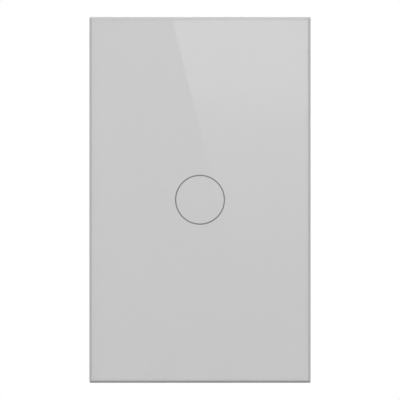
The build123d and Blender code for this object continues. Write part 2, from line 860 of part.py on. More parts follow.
# Terminal bars: bent copper strips from each clamp to the power board
with BuildPart() as terminal_bars:
    with BuildSketch(at_depth(bar_back)):
        with Locations(*[(x, bar_low) for x in pole_places]):
            Rectangle(bar_width, leg_high - bar_low, align=(Align.CENTER, Align.MIN))
    extrude(amount=bar_thickness)
    with BuildSketch(at_depth(bar_front)):
        with Locations(*[(x, leg_low) for x in pole_places]):
            Rectangle(bar_width, bar_thickness, align=(Align.CENTER, Align.MIN))
    extrude(amount=bar_front - power_board_front + bar_leg_reach)
    bar_bends = terminal_bars.edges().filter_by(Axis.X).group_by(Axis.Y)[-1].sort_by(Axis.Z)[-pole_count:]
    fillet(bar_bends, bar_bend_radius)
terminal_bars.part.label = "terminal_bars"
export_step(terminal_bars.part, "parts/terminal_bars.step")

# One clamp cage and one screw for each pole, numbered from the left as seen from the front
for number, x in enumerate(pole_places, start=1):
    with BuildPart() as terminal_cage:
        with BuildSketch(at_height(cage_low)):
            with Locations((x, (cage_bottom + cage_top) / 2)):
                RectangleRounded(cage_width, cage_top - cage_bottom, cage_corner_radius)
            with Locations((x, (clamp_floor + clamp_top) / 2)):
                Rectangle(cage_window_width, clamp_height, mode=Mode.SUBTRACT)
        extrude(amount=cage_depth)
        with BuildSketch(at_depth(cage_top)):
            with Locations((x, clamp_z)):
                Circle(clamp_screw_radius + thread_clearance)
        extrude(amount=cage_roof, mode=Mode.SUBTRACT)
    terminal_cage.part.label = f"terminal_cage_{number}"
    export_step(terminal_cage.part, f"parts/terminal_cage_{number}.step")

    with BuildPart() as terminal_screw:
        with BuildSketch(at_depth(clamp_head_seat)):
            with Locations((x, clamp_z)):
                Circle(clamp_head_radius)
        extrude(amount=-clamp_head_height)
        chamfer(terminal_screw.faces().sort_by(Axis.Y)[-1].edges(), clamp_head_height * clamp_head_edge)
        with BuildSketch(at_depth(clamp_head_seat)):
            with Locations((x, clamp_z)):
                Circle(clamp_screw_radius)
        extrude(amount=clamp_head_seat - clamp_top)
        with BuildSketch(at_depth(clamp_head_back)):
            with Locations((x, clamp_z)):
                Rectangle(2 * clamp_driver_radius, clamp_head_radius * clamp_slot_width)
        extrude(amount=clamp_head_height * clamp_slot_depth, mode=Mode.SUBTRACT)
    terminal_screw.part.label = f"terminal_screw_{number}"
    export_step(terminal_screw.part, f"parts/terminal_screw_{number}.step")

# Relay base and case
with BuildPart() as relay_base:
    with BuildSketch(at_depth(board_back)):
        with Locations((relay_x, relay_z)):
            Rectangle(
                relay_length - 2 * relay_wall - small_gap, relay_width - 2 * relay_wall - small_gap
            )
    extrude(amount=-relay_base_thickness)
relay_base.part.label = "relay_base"
export_step(relay_base.part, "parts/relay_base.step")

with BuildPart() as relay_case:
    with BuildSketch(at_depth(board_back)):
        with Locations((relay_x, relay_z)):
            Rectangle(relay_length, relay_width)
    extrude(amount=-relay_height)
    fillet(relay_case.faces().sort_by(Axis.Y)[-1].edges(), relay_wall)
    with BuildSketch(at_depth(board_back)):
        with Locations((relay_x, relay_z)):
            Rectangle(relay_length - 2 * relay_wall, relay_width - 2 * relay_wall)
    extrude(amount=-(relay_height - relay_wall), mode=Mode.SUBTRACT)
relay_case.part.label = "relay_case"
export_step(relay_case.part, "parts/relay_case.step")

# Relay iron: an L-shaped frame with the coil's core and its pole
base_back = board_back + relay_base_thickness
relay_left = relay_x - relay_length / 2 + relay_wall
coil_x = relay_left + sliding_gap + coil_radius
leg_x = coil_x + coil_radius + sliding_gap
leg_right = leg_x + relay_iron
pole_back = board_back + relay_height - relay_wall - armature_gap - armature_thickness - 2 * sliding_gap
pole_front = pole_back - pole_thickness
iron_back = base_back + relay_iron
with BuildPart() as relay_frame:
    with BuildSketch(at_height(relay_z - relay_iron_width / 2)):
        with BuildLine():
            Polyline(
                (coil_x - coil_radius, base_back),
                (leg_right, base_back),
                (leg_right, pole_back),
                (leg_x, pole_back),
                (leg_x, iron_back),
                (coil_x - coil_radius, iron_back),
                close=True,
            )
        make_face()
    extrude(amount=relay_iron_width)
    with BuildSketch(at_depth(iron_back)):
        with Locations((coil_x, relay_z)):
            Circle(coil_core_radius)
    extrude(amount=-(pole_back - iron_back))
    with BuildSketch(at_depth(pole_back)):
        with Locations((coil_x, relay_z)):
            Circle(pole_radius)
    extrude(amount=pole_thickness)
relay_frame.part.label = "relay_frame"
export_step(relay_frame.part, "parts/relay_frame.step")

# Coil bobbin and its winding
tube_radius = coil_core_radius + small_gap + bobbin_wall
flange_low = iron_back + bobbin_flange
flange_high = pole_front - bobbin_flange
with BuildPart() as relay_bobbin:
    with BuildSketch(at_depth(iron_back)):
        with Locations((coil_x, relay_z)):
            Circle(tube_radius)
    extrude(amount=-(pole_front - iron_back))
    for front in (iron_back, flange_high):
        with BuildSketch(at_depth(front)):
            with Locations((coil_x, relay_z)):
                Circle(coil_radius)
        extrude(amount=-bobbin_flange)
    with BuildSketch(at_depth(iron_back)):
        with Locations((coil_x, relay_z)):
            Circle(coil_core_radius + small_gap)
    extrude(amount=-(pole_front - iron_back), mode=Mode.SUBTRACT)
relay_bobbin.part.label = "relay_bobbin"
export_step(relay_bobbin.part, "parts/relay_bobbin.step")

with BuildPart() as relay_winding:
    with BuildSketch(at_depth(flange_low)):
        with Locations((coil_x, relay_z)):
            Circle(coil_radius - sliding_gap)
            Circle(tube_radius, mode=Mode.SUBTRACT)
    extrude(amount=-(flange_high - flange_low))
relay_winding.part.label = "relay_winding"
export_step(relay_winding.part, "parts/relay_winding.step")

# Armature: a plate that rocks on a round bead on the frame's leg and carries the moving contact blade
armature_front = pole_back + armature_gap
armature_back = armature_front + armature_thickness
pivot_x = leg_right - relay_iron / 2
pivot_depth = pole_back + touching_gap + armature_bead_radius
tail_x = pivot_x + armature_tail
blade_end = base_back + armature_tail
rivet_depth = blade_end + contact_radius
with BuildPart() as relay_armature:
    with BuildSketch(at_height(relay_z - contact_width / 2)):
        with BuildLine():
            Polyline(
                (coil_x - coil_radius + sliding_gap, armature_front),
                (tail_x - contact_blade, armature_front),
                (tail_x - contact_blade, blade_end),
                (tail_x, blade_end),
                (tail_x, armature_back),
                (coil_x - coil_radius + sliding_gap, armature_back),
                close=True,
            )
        make_face()
        with Locations((pivot_x, pivot_depth)):
            Circle(armature_bead_radius)
    extrude(amount=contact_width)
    with BuildSketch(Plane.YZ.offset(tail_x)):
        with Locations((rivet_depth, relay_z)):
            Circle(contact_radius)
    extrude(amount=2 * contact_blade)
relay_armature.part.label = "relay_armature"
export_step(relay_armature.part, "parts/relay_armature.step")

# Fixed contact blade with its rivet, and the blade that feeds the armature
fixed_x = tail_x + 2 * contact_blade + contact_travel + small_gap
with BuildPart() as relay_contacts:
    with BuildSketch(at_depth(base_back)):
        for left in (fixed_x + 2 * contact_blade, fixed_x + 2 * contact_blade + 2 * part_gap):
            with Locations((left, relay_z)):
                Rectangle(contact_blade, contact_width, align=(Align.MIN, Align.CENTER))
    extrude(amount=-(rivet_depth + 2 * contact_radius - base_back))
    with BuildSketch(Plane.YZ.offset(fixed_x)):
        with Locations((rivet_depth, relay_z)):
            Circle(contact_radius)
    extrude(amount=2 * contact_blade)
relay_contacts.part.label = "relay_contacts"
export_step(relay_contacts.part, "parts/relay_contacts.step")

# Transformer: a ferrite core with two windows, its bobbin and the winding
core_low = board_back + bobbin_flange
core_middle = core_low + core_height / 2
window_half = core_leg / 2 + core_window_width
window_centre = (core_leg + core_window_width) / 2
with BuildPart() as transformer_core:
    with BuildSketch(at_height(core_z - core_thickness / 2)):
        with Locations((core_x, core_middle)):
            Rectangle(core_width, core_height)
        with Locations((core_x - window_centre, core_middle), (core_x + window_centre, core_middle)):
            Rectangle(core_window_width, core_height - 2 * core_yoke, mode=Mode.SUBTRACT)
    extrude(amount=core_thickness)
transformer_core.part.label = "transformer_core"
export_step(transformer_core.part, "parts/transformer_core.step")

spool_front = core_low + core_yoke
spool_back = spool_front + core_height - 2 * core_yoke
spool_half_x = core_leg / 2 + small_gap + bobbin_wall
spool_half_z = core_thickness / 2 + small_gap + bobbin_wall
flange_half_x = window_half - small_gap
foot_z = core_thickness / 2 + small_gap
with BuildPart() as transformer_bobbin:
    with BuildSketch(at_depth(spool_front)):
        with Locations((core_x, core_z)):
            Rectangle(2 * spool_half_x, 2 * spool_half_z)
    extrude(amount=-(spool_back - spool_front))
    for front in (spool_front, spool_back - bobbin_flange):
        with BuildSketch(at_depth(front)):
            with Locations((core_x, core_z)):
                Rectangle(2 * flange_half_x, 2 * bobbin_half_z)
        extrude(amount=-bobbin_flange)
    with BuildSketch(at_depth(board_back)):
        with Locations((core_x, core_z)):
            Rectangle(2 * flange_half_x, 2 * bobbin_half_z)
    extrude(amount=-(spool_front - board_back))
    with BuildSketch(at_depth(core_low)):
        with Locations((core_x, core_z)):
            Rectangle(2 * core_width, 2 * foot_z)
    extrude(amount=-core_yoke, mode=Mode.SUBTRACT)
    with BuildSketch(at_depth(core_low)):
        with Locations((core_x, core_z)):
            Rectangle(core_leg + 2 * small_gap, 2 * foot_z)
    extrude(amount=-(spool_back - core_low), mode=Mode.SUBTRACT)
transformer_bobbin.part.label = "transformer_bobbin"
export_step(transformer_bobbin.part, "parts/transformer_bobbin.step")

with BuildPart() as transformer_winding:
    with BuildSketch(at_depth(spool_front + bobbin_flange)):
        with Locations((core_x, core_z)):
            RectangleRounded(
                2 * (flange_half_x - small_gap), 2 * (bobbin_half_z - small_gap), winding_corner_radius
            )
            Rectangle(2 * spool_half_x, 2 * spool_half_z, mode=Mode.SUBTRACT)
    extrude(amount=-(spool_back - spool_front - 2 * bobbin_flange))
transformer_winding.part.label = "transformer_winding"
export_step(transformer_winding.part, "parts/transformer_winding.step")


def upright_can(x, z, radius, height):
    """A round can that stands on the power board, with a soft edge at its top."""
    with BuildPart() as can:
        with BuildSketch(at_depth(board_back)):
            with Locations((x, z)):
                Circle(radius)
        extrude(amount=-height)
        fillet(can.faces().sort_by(Axis.Y)[-1].edges(), radius * can_edge)
    return can


main_capacitor = upright_can(main_x, main_z, main_capacitor_radius, main_capacitor_height)
main_capacitor.part.label = "main_capacitor"
export_step(main_capacitor.part, "parts/main_capacitor.step")

output_capacitor = upright_can(output_x, film_z, output_capacitor_radius, output_capacitor_height)
output_capacitor.part.label = "output_capacitor"
export_step(output_capacitor.part, "parts/output_capacitor.step")

fuse = upright_can(fuse_x, relay_z, fuse_radius, fuse_height)
fuse.part.label = "fuse"
export_step(fuse.part, "parts/fuse.step")

with BuildPart() as film_capacitor:
    with BuildSketch(at_depth(board_back)):
        with Locations((film_x, film_z)):
            Rectangle(film_capacitor_width, film_capacitor_depth)
    extrude(amount=-film_capacitor_height)
    fillet(film_capacitor.faces().sort_by(Axis.Y)[-1].edges(), film_capacitor_edge_radius)
film_capacitor.part.label = "film_capacitor"
export_step(film_capacitor.part, "parts/film_capacitor.step")

# Varistor: a coated disc on edge, standing on two wire legs
varistor_depth = board_back + varistor_lift + varistor_width / 2
with BuildPart() as varistor:
    with BuildSketch(Plane.YZ.offset(varistor_x - varistor_thickness / 2)):
        with Locations((varistor_depth, relay_z)):
            Circle(varistor_width / 2)
    extrude(amount=varistor_thickness)
    fillet(varistor.edges(), varistor_thickness / 4)
    with BuildSketch(at_depth(board_back)):
        with Locations((varistor_x, relay_z)):
            with GridLocations(1, varistor_width / 2, 1, 2):
                Circle(varistor_leg_radius)
    extrude(amount=-(varistor_lift + varistor_width / 2))
varistor.part.label = "varistor"
export_step(varistor.part, "parts/varistor.step")

# Bridge rectifier and controller chip
with BuildPart() as power_chips:
    with BuildSketch(at_depth(board_back)):
        with Locations((bridge_x, bridge_z)):
            Rectangle(bridge_width, bridge_length)
    extrude(amount=-bridge_height)
    with BuildSketch(at_depth(board_back)):
        with Locations((controller_x, bridge_z)):
            Rectangle(controller_width, controller_length)
    extrude(amount=-controller_height)
power_chips.part.label = "power_chips"
export_step(power_chips.part, "parts/power_chips.step")

# Wall box screws, relieved under the head so that they turn freely in the ear slots
for name, z in (("box_screw_upper", box_screw_z), ("box_screw_lower", -box_screw_z)):
    with BuildPart() as box_screw:
        with BuildSketch(at_depth(-yoke_thickness)):
            with Locations((0, z)):
                Circle(box_screw_head_radius)
        extrude(amount=box_screw_head_height)
        fillet(box_screw.faces().sort_by(Axis.Y)[0].edges(), box_screw_head_height * slot_head_edge)
        with BuildSketch(at_depth(-yoke_thickness)):
            with Locations((0, z)):
                Circle(box_screw_neck_radius)
        extrude(amount=-yoke_thickness)
        with BuildSketch(at_depth(0)):
            with Locations((0, z)):
                Circle(box_screw_radius)
        extrude(amount=-box_screw_length)
        chamfer(box_screw.faces().sort_by(Axis.Y)[-1].edges(), box_screw_radius * slot_tip_chamfer)
        with BuildSketch(at_depth(-yoke_thickness - box_screw_head_height)):
            with Locations((0, z)):
                Rectangle(box_screw_head_radius * slot_span, box_screw_head_radius * slot_width)
        extrude(amount=-box_screw_head_height * slot_depth, mode=Mode.SUBTRACT)
    box_screw.part.label = name
    export_step(box_screw.part, f"parts/{name}.step")
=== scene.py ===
import json
import math

import bmesh
import bpy
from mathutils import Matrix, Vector


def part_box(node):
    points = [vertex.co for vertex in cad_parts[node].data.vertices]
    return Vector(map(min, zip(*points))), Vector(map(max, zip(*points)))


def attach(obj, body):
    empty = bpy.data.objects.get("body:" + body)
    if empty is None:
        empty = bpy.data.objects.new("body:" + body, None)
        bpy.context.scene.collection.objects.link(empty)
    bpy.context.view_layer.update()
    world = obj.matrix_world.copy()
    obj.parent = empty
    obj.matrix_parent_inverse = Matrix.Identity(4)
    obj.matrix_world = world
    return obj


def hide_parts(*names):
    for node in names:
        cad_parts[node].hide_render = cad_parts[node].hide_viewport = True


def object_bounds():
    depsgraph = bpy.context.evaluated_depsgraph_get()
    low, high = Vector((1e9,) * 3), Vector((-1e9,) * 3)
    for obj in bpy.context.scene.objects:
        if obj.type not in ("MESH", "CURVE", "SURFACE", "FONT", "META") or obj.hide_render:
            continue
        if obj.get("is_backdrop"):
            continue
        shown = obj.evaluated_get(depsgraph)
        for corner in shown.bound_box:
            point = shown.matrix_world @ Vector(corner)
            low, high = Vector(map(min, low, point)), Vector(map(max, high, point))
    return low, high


# The looks of a one-gang glass touch switch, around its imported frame.
# Metres throughout: X runs right as seen from the front, Z runs up, and the front faces -Y.

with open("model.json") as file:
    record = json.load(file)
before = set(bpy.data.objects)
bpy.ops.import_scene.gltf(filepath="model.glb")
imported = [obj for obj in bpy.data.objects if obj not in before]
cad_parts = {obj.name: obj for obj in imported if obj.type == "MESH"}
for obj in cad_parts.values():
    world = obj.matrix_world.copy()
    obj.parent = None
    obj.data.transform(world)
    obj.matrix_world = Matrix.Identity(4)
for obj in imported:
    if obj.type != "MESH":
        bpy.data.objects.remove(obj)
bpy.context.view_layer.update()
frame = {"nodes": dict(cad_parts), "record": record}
record = frame["record"]
slot_of = {part["node"]: part["material_slot"] for part in record["subparts"]}
body_of = {node: body for body, nodes in record["behaviour"]["bodies"].items() for node in nodes}

MM = 0.001


# Short calls for shader nodes


def add(tree, kind, inputs=None, **settings):
    """Adds a node. Its inputs are given by name, each as a value or as the socket that feeds it."""
    node = tree.nodes.new(kind)
    for name, value in settings.items():
        setattr(node, name, value)
    for name, value in (inputs or {}).items():
        if isinstance(value, bpy.types.NodeSocket):
            tree.links.new(value, node.inputs[name])
        else:
            node.inputs[name].default_value = value
    return node


def new_finish(name, **values):
    """A material with a principled shader, whose sockets are set by name."""
    material = bpy.data.materials.new(name)
    material.use_nodes = True
    tree = material.node_tree
    shader = next(node for node in tree.nodes if node.type == "BSDF_PRINCIPLED")
    for name, value in values.items():
        shader.inputs[name.replace("_", " ")].default_value = value
    return material, tree, shader


def shade(colour, amount=1.0):
    """A colour with its brightness multiplied, as the four numbers that a socket takes."""
    return [min(1.0, part * amount) for part in colour] + [1.0]


def place(tree, scale=(1, 1, 1), turn=(0, 0, 0)):
    """The point on the piece, scaled and turned."""
    where = add(tree, "ShaderNodeTexCoord").outputs["Object"]
    return add(tree, "ShaderNodeMapping", {"Vector": where, "Scale": scale, "Rotation": turn}).outputs[0]


def noise(tree, size, detail=2.0, stretch=(1, 1, 1)):
    """Cloudy noise whose features have about this size in metres, stretched along the axes."""
    point = place(tree, [1 / (size * part) for part in stretch])
    return add(tree, "ShaderNodeTexNoise", {"Vector": point, "Scale": 1.0, "Detail": detail}).outputs[0]


def ramp(tree, factor, *stops):
    """Colours at given values of a factor."""
    node = add(tree, "ShaderNodeValToRGB", {"Fac": factor})
    points = node.color_ramp.elements
    points[0].position, points[1].position = 0.0, 1.0
    for position, _ in stops[1:-1]:
        points.new(position)
    for point, (position, colour) in zip(points, stops):
        point.position = position
        point.color = colour
    return node.outputs["Color"]


def span(tree, factor, low, high, start=0.3, end=0.7):
    """The factor's stretch from start to end, spread from low to high."""
    names = {"Value": factor, "From Min": start, "From Max": end, "To Min": low, "To Max": high}
    return add(tree, "ShaderNodeMapRange", names).outputs[0]


def sums(tree, operation, first, second=0.0):
    """One step of arithmetic."""
    node = add(tree, "ShaderNodeMath", operation=operation)
    for socket, value in zip(node.inputs, (first, second)):
        if isinstance(value, bpy.types.NodeSocket):
            tree.links.new(value, socket)
        else:
            socket.default_value = value
    return node.outputs[0]


def feed(shader, **sockets):
    """Links sockets to the shader's inputs, which are given by name."""
    for name, socket in sockets.items():
        shader.id_data.links.new(socket, shader.inputs[name.replace("_", " ")])


def relief(tree, shader, height, depth):
    """Raises the surface by this depth, in metres, where the height is 1."""
    bump = add(tree, "ShaderNodeBump", {"Height": height, "Distance": depth, "Strength": 1.0})
    feed(shader, Normal=bump.outputs["Normal"])


def uneven(tree, factor, colour, tone):
    """A colour that the factor takes a little darker and lighter."""
    return ramp(tree, factor, (0.3, shade(colour, 1 - tone)), (0.7, shade(colour, 1 + tone)))


# Finishes


def moulded(name, colour, roughness=0.42, grain=0.16 * MM, depth=0.006 * MM, tone=0.03):
    """Moulded plastic: a fine spark grain and a faint unevenness of colour."""
    material, tree, shader = new_finish(name)
    cloud = noise(tree, 7 * MM)
    feed(shader, Base_Color=uneven(tree, cloud, colour, tone))
    fine = noise(tree, grain)
    feed(shader, Roughness=span(tree, fine, roughness - 0.07, roughness + 0.09))
    relief(tree, shader, fine, depth)
    return material


def metal(name, colour, roughness=0.3, stretch=(1, 1, 1), grain=0.12 * MM, depth=0.001 * MM, tone=0.06):
    """Plated or bare metal: fine streaks along the stretch and a soft cloud in its shine."""
    material, tree, shader = new_finish(name, Metallic=1.0)
    cloud = noise(tree, 3 * MM)
    feed(shader, Base_Color=uneven(tree, cloud, colour, tone))
    streak = noise(tree, grain, 3.0, stretch)
    streaks = span(tree, streak, -0.06, 0.08)
    rough = sums(tree, "ADD", streaks, span(tree, cloud, roughness - 0.04, roughness + 0.06))
    feed(shader, Roughness=rough)
    relief(tree, shader, streak, depth)
    return material


def galvanised(name, colour):
    """Zinc-coated sheet, with the crystal pattern of hot dipping."""
    material, tree, shader = new_finish(name, Metallic=1.0)
    wobble = add(tree, "ShaderNodeTexNoise", {"Vector": place(tree, (420, 420, 420)), "Scale": 1.0})
    straight = place(tree, (560, 560, 560))
    point = add(tree, "ShaderNodeVectorMath", {0: straight, 1: wobble.outputs["Color"]}, operation="ADD")
    crystals = add(tree, "ShaderNodeTexVoronoi", {"Vector": point.outputs[0], "Scale": 1.0})
    tone = add(tree, "ShaderNodeSeparateColor", {"Color": crystals.outputs["Color"]}).outputs[0]
    base = ramp(tree, tone, (0.0, shade(colour, 0.9)), (1.0, shade(colour, 1.06)))
    feed(shader, Base_Color=base)
    fine = noise(tree, 0.2 * MM)
    rough = sums(tree, "ADD", span(tree, tone, 0.32, 0.44, 0.0, 1.0), span(tree, fine, -0.04, 0.05))
    feed(shader, Roughness=rough)
    relief(tree, shader, sums(tree, "ADD", fine, tone), 0.003 * MM)
    return material


HOLE_RING, HOLE_BORE = (0.3 * MM, 0.34 * MM), (0.15 * MM, 0.18 * MM)
# The tinned ring's colour, and the near-black painted shade that stands for the inside of each bore
HOLE_TIN, HOLE_SHADE = (0.62, 0.6, 0.54), (0.02, 0.02, 0.02)


def board_finish(name, base, spacing):
    """The rest of a circuit board's finish: through-plated holes in a mask with a slight sheen; each hole's
    bore is painted near-black as painted shade.
    """
    material, tree, shader = new_finish(name)
    colour, height = base(tree)
    point = place(tree, (1, 1, 1), (-math.pi / 2, 0, 0))
    holes = add(
        tree,
        "ShaderNodeTexVoronoi",
        {"Vector": point, "Scale": 1 / spacing, "Randomness": 0.75},
        voronoi_dimensions="2D",
    ).outputs["Distance"]
    edges = [(inner / spacing, outer / spacing) for inner, outer in (HOLE_RING, HOLE_BORE)]
    ring, bore = (span(tree, holes, 1.0, 0.0, *edge) for edge in edges)
    # The bore is painted near-black: painted shade where the hole is only a dip in the bump
    for share, tone in ((ring, HOLE_TIN), (bore, HOLE_SHADE)):
        mix = add(tree, "ShaderNodeMixRGB", {"Fac": share, "Color1": colour, "Color2": shade(tone)})
        colour = mix.outputs[0]
    feed(shader, Base_Color=colour)
    feed(shader, Metallic=sums(tree, "SUBTRACT", ring, bore))
    feed(shader, Roughness=span(tree, noise(tree, 0.4 * MM), 0.24, 0.36))
    relief(tree, shader, sums(tree, "SUBTRACT", sums(tree, "ADD", height, ring), bore), 0.025 * MM)
    return material


def hatched_board(name, mask, copper, pitch=1.5 * MM, line=0.32 * MM):
    """Circuit board whose ground is a fine net of copper at 45 degrees, seen through the mask."""

    def base(tree):
        where = add(tree, "ShaderNodeSeparateXYZ", {"Vector": place(tree, (1, 1, 1), (0, math.pi / 4, 0))})
        across, along = (sums(tree, "PINGPONG", where.outputs[axis], pitch / 2) for axis in ("X", "Z"))
        net = span(tree, sums(tree, "MINIMUM", across, along), 1.0, 0.0, line * 0.4, line * 0.6)
        return ramp(tree, net, (0.0, shade(mask)), (1.0, shade(copper))), net

    return board_finish(name, base, 6.1 * MM)


def poured_board(name, mask, copper, width=7.0 * MM, depth=3.6 * MM):
    """Circuit board with broad areas of copper, seen through the mask."""

    def base(tree):
        flat = place(tree, (1, 1, 1), (-math.pi / 2, 0, 0))
        areas = add(
            tree,
            "ShaderNodeTexBrick",
            {
                "Vector": flat,
                "Color1": shade(copper),
                "Color2": shade(copper, 0.86),
                "Mortar": shade(mask),
                "Scale": 1.0,
                "Mortar Size": 0.16 * MM,
                "Mortar Smooth": 0.1,
                "Brick Width": width,
                "Row Height": depth,
            },
            offset=0.37,
            squash=1.6,
            squash_frequency=3,
        )
        return areas.outputs["Color"], sums(tree, "SUBTRACT", 1.0, areas.outputs["Fac"])

    return board_finish(name, base, 4.6 * MM)


def pane_glass(name):
    """Polished tempered glass, with the faint unevenness of its polish."""
    material, tree, shader = new_finish(name, Transmission_Weight=1.0, IOR=1.5)
    shader.inputs["Base Color"].default_value = shade((0.99, 0.995, 0.99))
    feed(shader, Roughness=span(tree, noise(tree, 9 * MM), 0.0, 0.015))
    return material


def ground_glass(name, face, side, front, back):
    """The pane's ground edge: as grey as the print at the front, deepening down the side; the deepening is
    partly the edge's own grey-green and partly painted shade on the outer rounding and the side.
    """
    material, tree, shader = new_finish(name, Specular_IOR_Level=0.15)
    depth = add(tree, "ShaderNodeSeparateXYZ", {"Vector": place(tree)}).outputs["Y"]
    # Painted shade in part: the colour darkens with depth from the front towards the side
    base = ramp(tree, span(tree, depth, 0.0, 1.0, front, back), (0.0, shade(face)), (1.0, shade(side)))
    feed(shader, Base_Color=base)
    fine = noise(tree, 0.1 * MM)
    feed(shader, Roughness=span(tree, fine, 0.34, 0.5))
    relief(tree, shader, fine, 0.002 * MM)
    return material


def clear_moulding(name, colour, roughness):
    """Clear plastic that bends light."""
    material, tree, shader = new_finish(name, Transmission_Weight=1.0, IOR=1.49)
    shader.inputs["Base Color"].default_value = shade(colour)
    fine = noise(tree, 0.8 * MM)
    feed(shader, Roughness=span(tree, fine, roughness * 0.7, roughness * 1.3))
    return material


def wound(name, colour, wire, roughness=0.32):
    """A winding: turns of fine wire side by side, wound about an axis along Y, with painted shade between
    the turns and a painted highlight along each turn.
    """
    material, tree, shader = new_finish(name, Metallic=0.6, Coat_Weight=0.5, Coat_Roughness=0.15)
    turns = add(
        tree,
        "ShaderNodeTexWave",
        {"Vector": place(tree), "Scale": math.pi / 10 / wire, "Distortion": 0.4, "Detail": 1.0},
        bands_direction="Y",
    ).outputs["Fac"]
    # Painted shade in the troughs between turns and a painted highlight on each turn's crest, following the
    # bump
    base = ramp(tree, turns, (0.0, shade(colour, 0.45)), (0.5, shade(colour)), (1.0, shade(colour, 1.15)))
    feed(shader, Base_Color=base)
    feed(shader, Roughness=span(tree, noise(tree, 0.5 * MM), roughness, roughness + 0.12))
    relief(tree, shader, turns, wire / 3)
    return material


def taped(name, colour):
    """Layers of polyester tape, pulled tight, with their laps showing."""
    material, tree, shader = new_finish(name, Coat_Weight=0.6, Coat_Roughness=0.08)
    laps = noise(tree, 1.6 * MM, 1.0, (6, 0.5, 6))
    base = ramp(tree, laps, (0.35, shade(colour, 0.85)), (0.65, shade(colour, 1.05)))
    feed(shader, Base_Color=base)
    feed(shader, Roughness=span(tree, noise(tree, 0.6 * MM), 0.2, 0.34))
    relief(tree, shader, laps, 0.04 * MM)
    return material


def foam(name, colour):
    """Closed-cell foam tape, with painted shade in the sunk borders between its cells."""
    material, tree, shader = new_finish(name, Roughness=0.8)
    grid = {"Vector": place(tree), "Scale": 1 / (0.25 * MM)}
    cells = add(tree, "ShaderNodeTexVoronoi", grid).outputs["Distance"]
    # Painted shade: darker towards the cell borders, which the bump sinks
    base = ramp(tree, cells, (0.0, shade(colour)), (0.8, shade(colour, 0.86)))
    feed(shader, Base_Color=base)
    relief(tree, shader, cells, -0.03 * MM)
    return material


def passivated(name, colour):
    """Zinc plate under a yellow passivation, with its faint drift towards green and pink."""
    material, tree, shader = new_finish(name, Metallic=1.0)
    drift = noise(tree, 2.2 * MM, 2.0)
    red, green, blue = colour
    warm, cool = (red * 1.04, green * 0.98, blue * 0.82), (red * 0.93, green, blue * 1.06)
    base = ramp(tree, drift, (0.35, shade(warm)), (0.65, shade(cool)))
    feed(shader, Base_Color=base)
    fine = noise(tree, 0.08 * MM, 3.0)
    feed(shader, Roughness=span(tree, fine, 0.24, 0.38))
    relief(tree, shader, fine, 0.001 * MM)
    return material


GREY_FACE = (0.54, 0.541, 0.541)
glass_low, glass_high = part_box("glass_panel")

# Each material slot of the record, with the call that makes its finish and what it is given
looks = {
    "clear_glass": (pane_glass,),
    "grey_print": (moulded, GREY_FACE, 0.6, 0.05 * MM, 0.0, 0.004),
    "ring_ink": (moulded, (0.06, 0.06, 0.06), 0.5, 0.05 * MM, 0.0, 0.05),
    "adhesive": (foam, (0.78, 0.78, 0.75)),
    "frame_plastic": (moulded, (0.52, 0.52, 0.515), 0.42, 0.2 * MM, 0.008 * MM),
    "clear_acrylic": (clear_moulding, (0.95, 0.96, 0.96), 0.08),
    "spring_steel": (metal, (0.56, 0.55, 0.535), 0.24, (1, 12, 1)),
    "galvanised_steel": (galvanised, (0.54, 0.56, 0.57)),
    "housing_plastic": (moulded, (0.7, 0.7, 0.685), 0.44, 0.22 * MM, 0.009 * MM),
    "screw_steel": (metal, (0.57, 0.565, 0.56), 0.28),
    "touch_board_laminate": (hatched_board, (0.66, 0.67, 0.66), (0.57, 0.58, 0.56)),
    "led_resin": (moulded, (0.85, 0.72, 0.22), 0.2, 0.3 * MM, 0.0),
    "chip_resin": (moulded, (0.025, 0.025, 0.027), 0.5, 0.06 * MM, 0.004 * MM),
    "module_laminate": (poured_board, (0.012, 0.03, 0.075), (0.02, 0.05, 0.12), 2.4 * MM, 1.3 * MM),
    "shield_steel": (metal, (0.62, 0.615, 0.6), 0.3, (10, 1, 1)),
    "switch_steel": (metal, (0.6, 0.6, 0.585), 0.28),
    "button_plastic": (moulded, (0.02, 0.02, 0.02), 0.36),
    "header_plastic": (moulded, (0.02, 0.02, 0.021), 0.4),
    "gilt_brass": (metal, (0.85, 0.62, 0.25), 0.22),
    "power_board_laminate": (poured_board, (0.02, 0.145, 0.057), (0.03, 0.19, 0.072)),
    "relay_plastic": (moulded, (0.015, 0.015, 0.016), 0.28, 0.12 * MM, 0.002 * MM),
    "relay_iron": (metal, (0.5, 0.49, 0.47), 0.35),
    "bobbin_plastic": (moulded, (0.03, 0.03, 0.03), 0.4),
    "copper_winding": (wound, (0.62, 0.24, 0.08), 0.12 * MM),
    "contact_brass": (metal, (0.8, 0.56, 0.26), 0.27, (1, 8, 1)),
    "ferrite": (moulded, (0.035, 0.035, 0.037), 0.55, 0.3 * MM, 0.012 * MM),
    "winding_tape": (taped, (0.75, 0.5, 0.04)),
    "capacitor_sleeve": (moulded, (0.012, 0.012, 0.016), 0.22, 0.8 * MM, 0.002 * MM),
    "film_case": (moulded, (0.28, 0.28, 0.3), 0.3, 0.12 * MM, 0.003 * MM),
    "fuse_case": (moulded, (0.12, 0.035, 0.015), 0.3, 0.12 * MM, 0.003 * MM),
    "varistor_coat": (moulded, (0.02, 0.07, 0.24), 0.25, 0.5 * MM, 0.01 * MM),
    "terminal_plastic": (moulded, (0.045, 0.046, 0.048), 0.4),
    "clamp_steel": (passivated, (0.68, 0.64, 0.52)),
}
finishes = {name: make(name, *values) for name, (make, *values) in looks.items()}
tin = metal("tin", (0.64, 0.63, 0.615), 0.3)
white_ceramic = moulded("white_ceramic", (0.8, 0.8, 0.78), 0.35, 0.1 * MM, 0.002 * MM)
pad_print = moulded("pad_print", (0.62, 0.62, 0.6), 0.5, 0.08 * MM, 0.002 * MM)
black_print = moulded("black_print", (0.03, 0.03, 0.03), 0.55, 0.08 * MM, 0.002 * MM)
covered_copper = moulded("covered_copper", (0.5, 0.52, 0.48), 0.3, 0.3 * MM, 0.002 * MM)
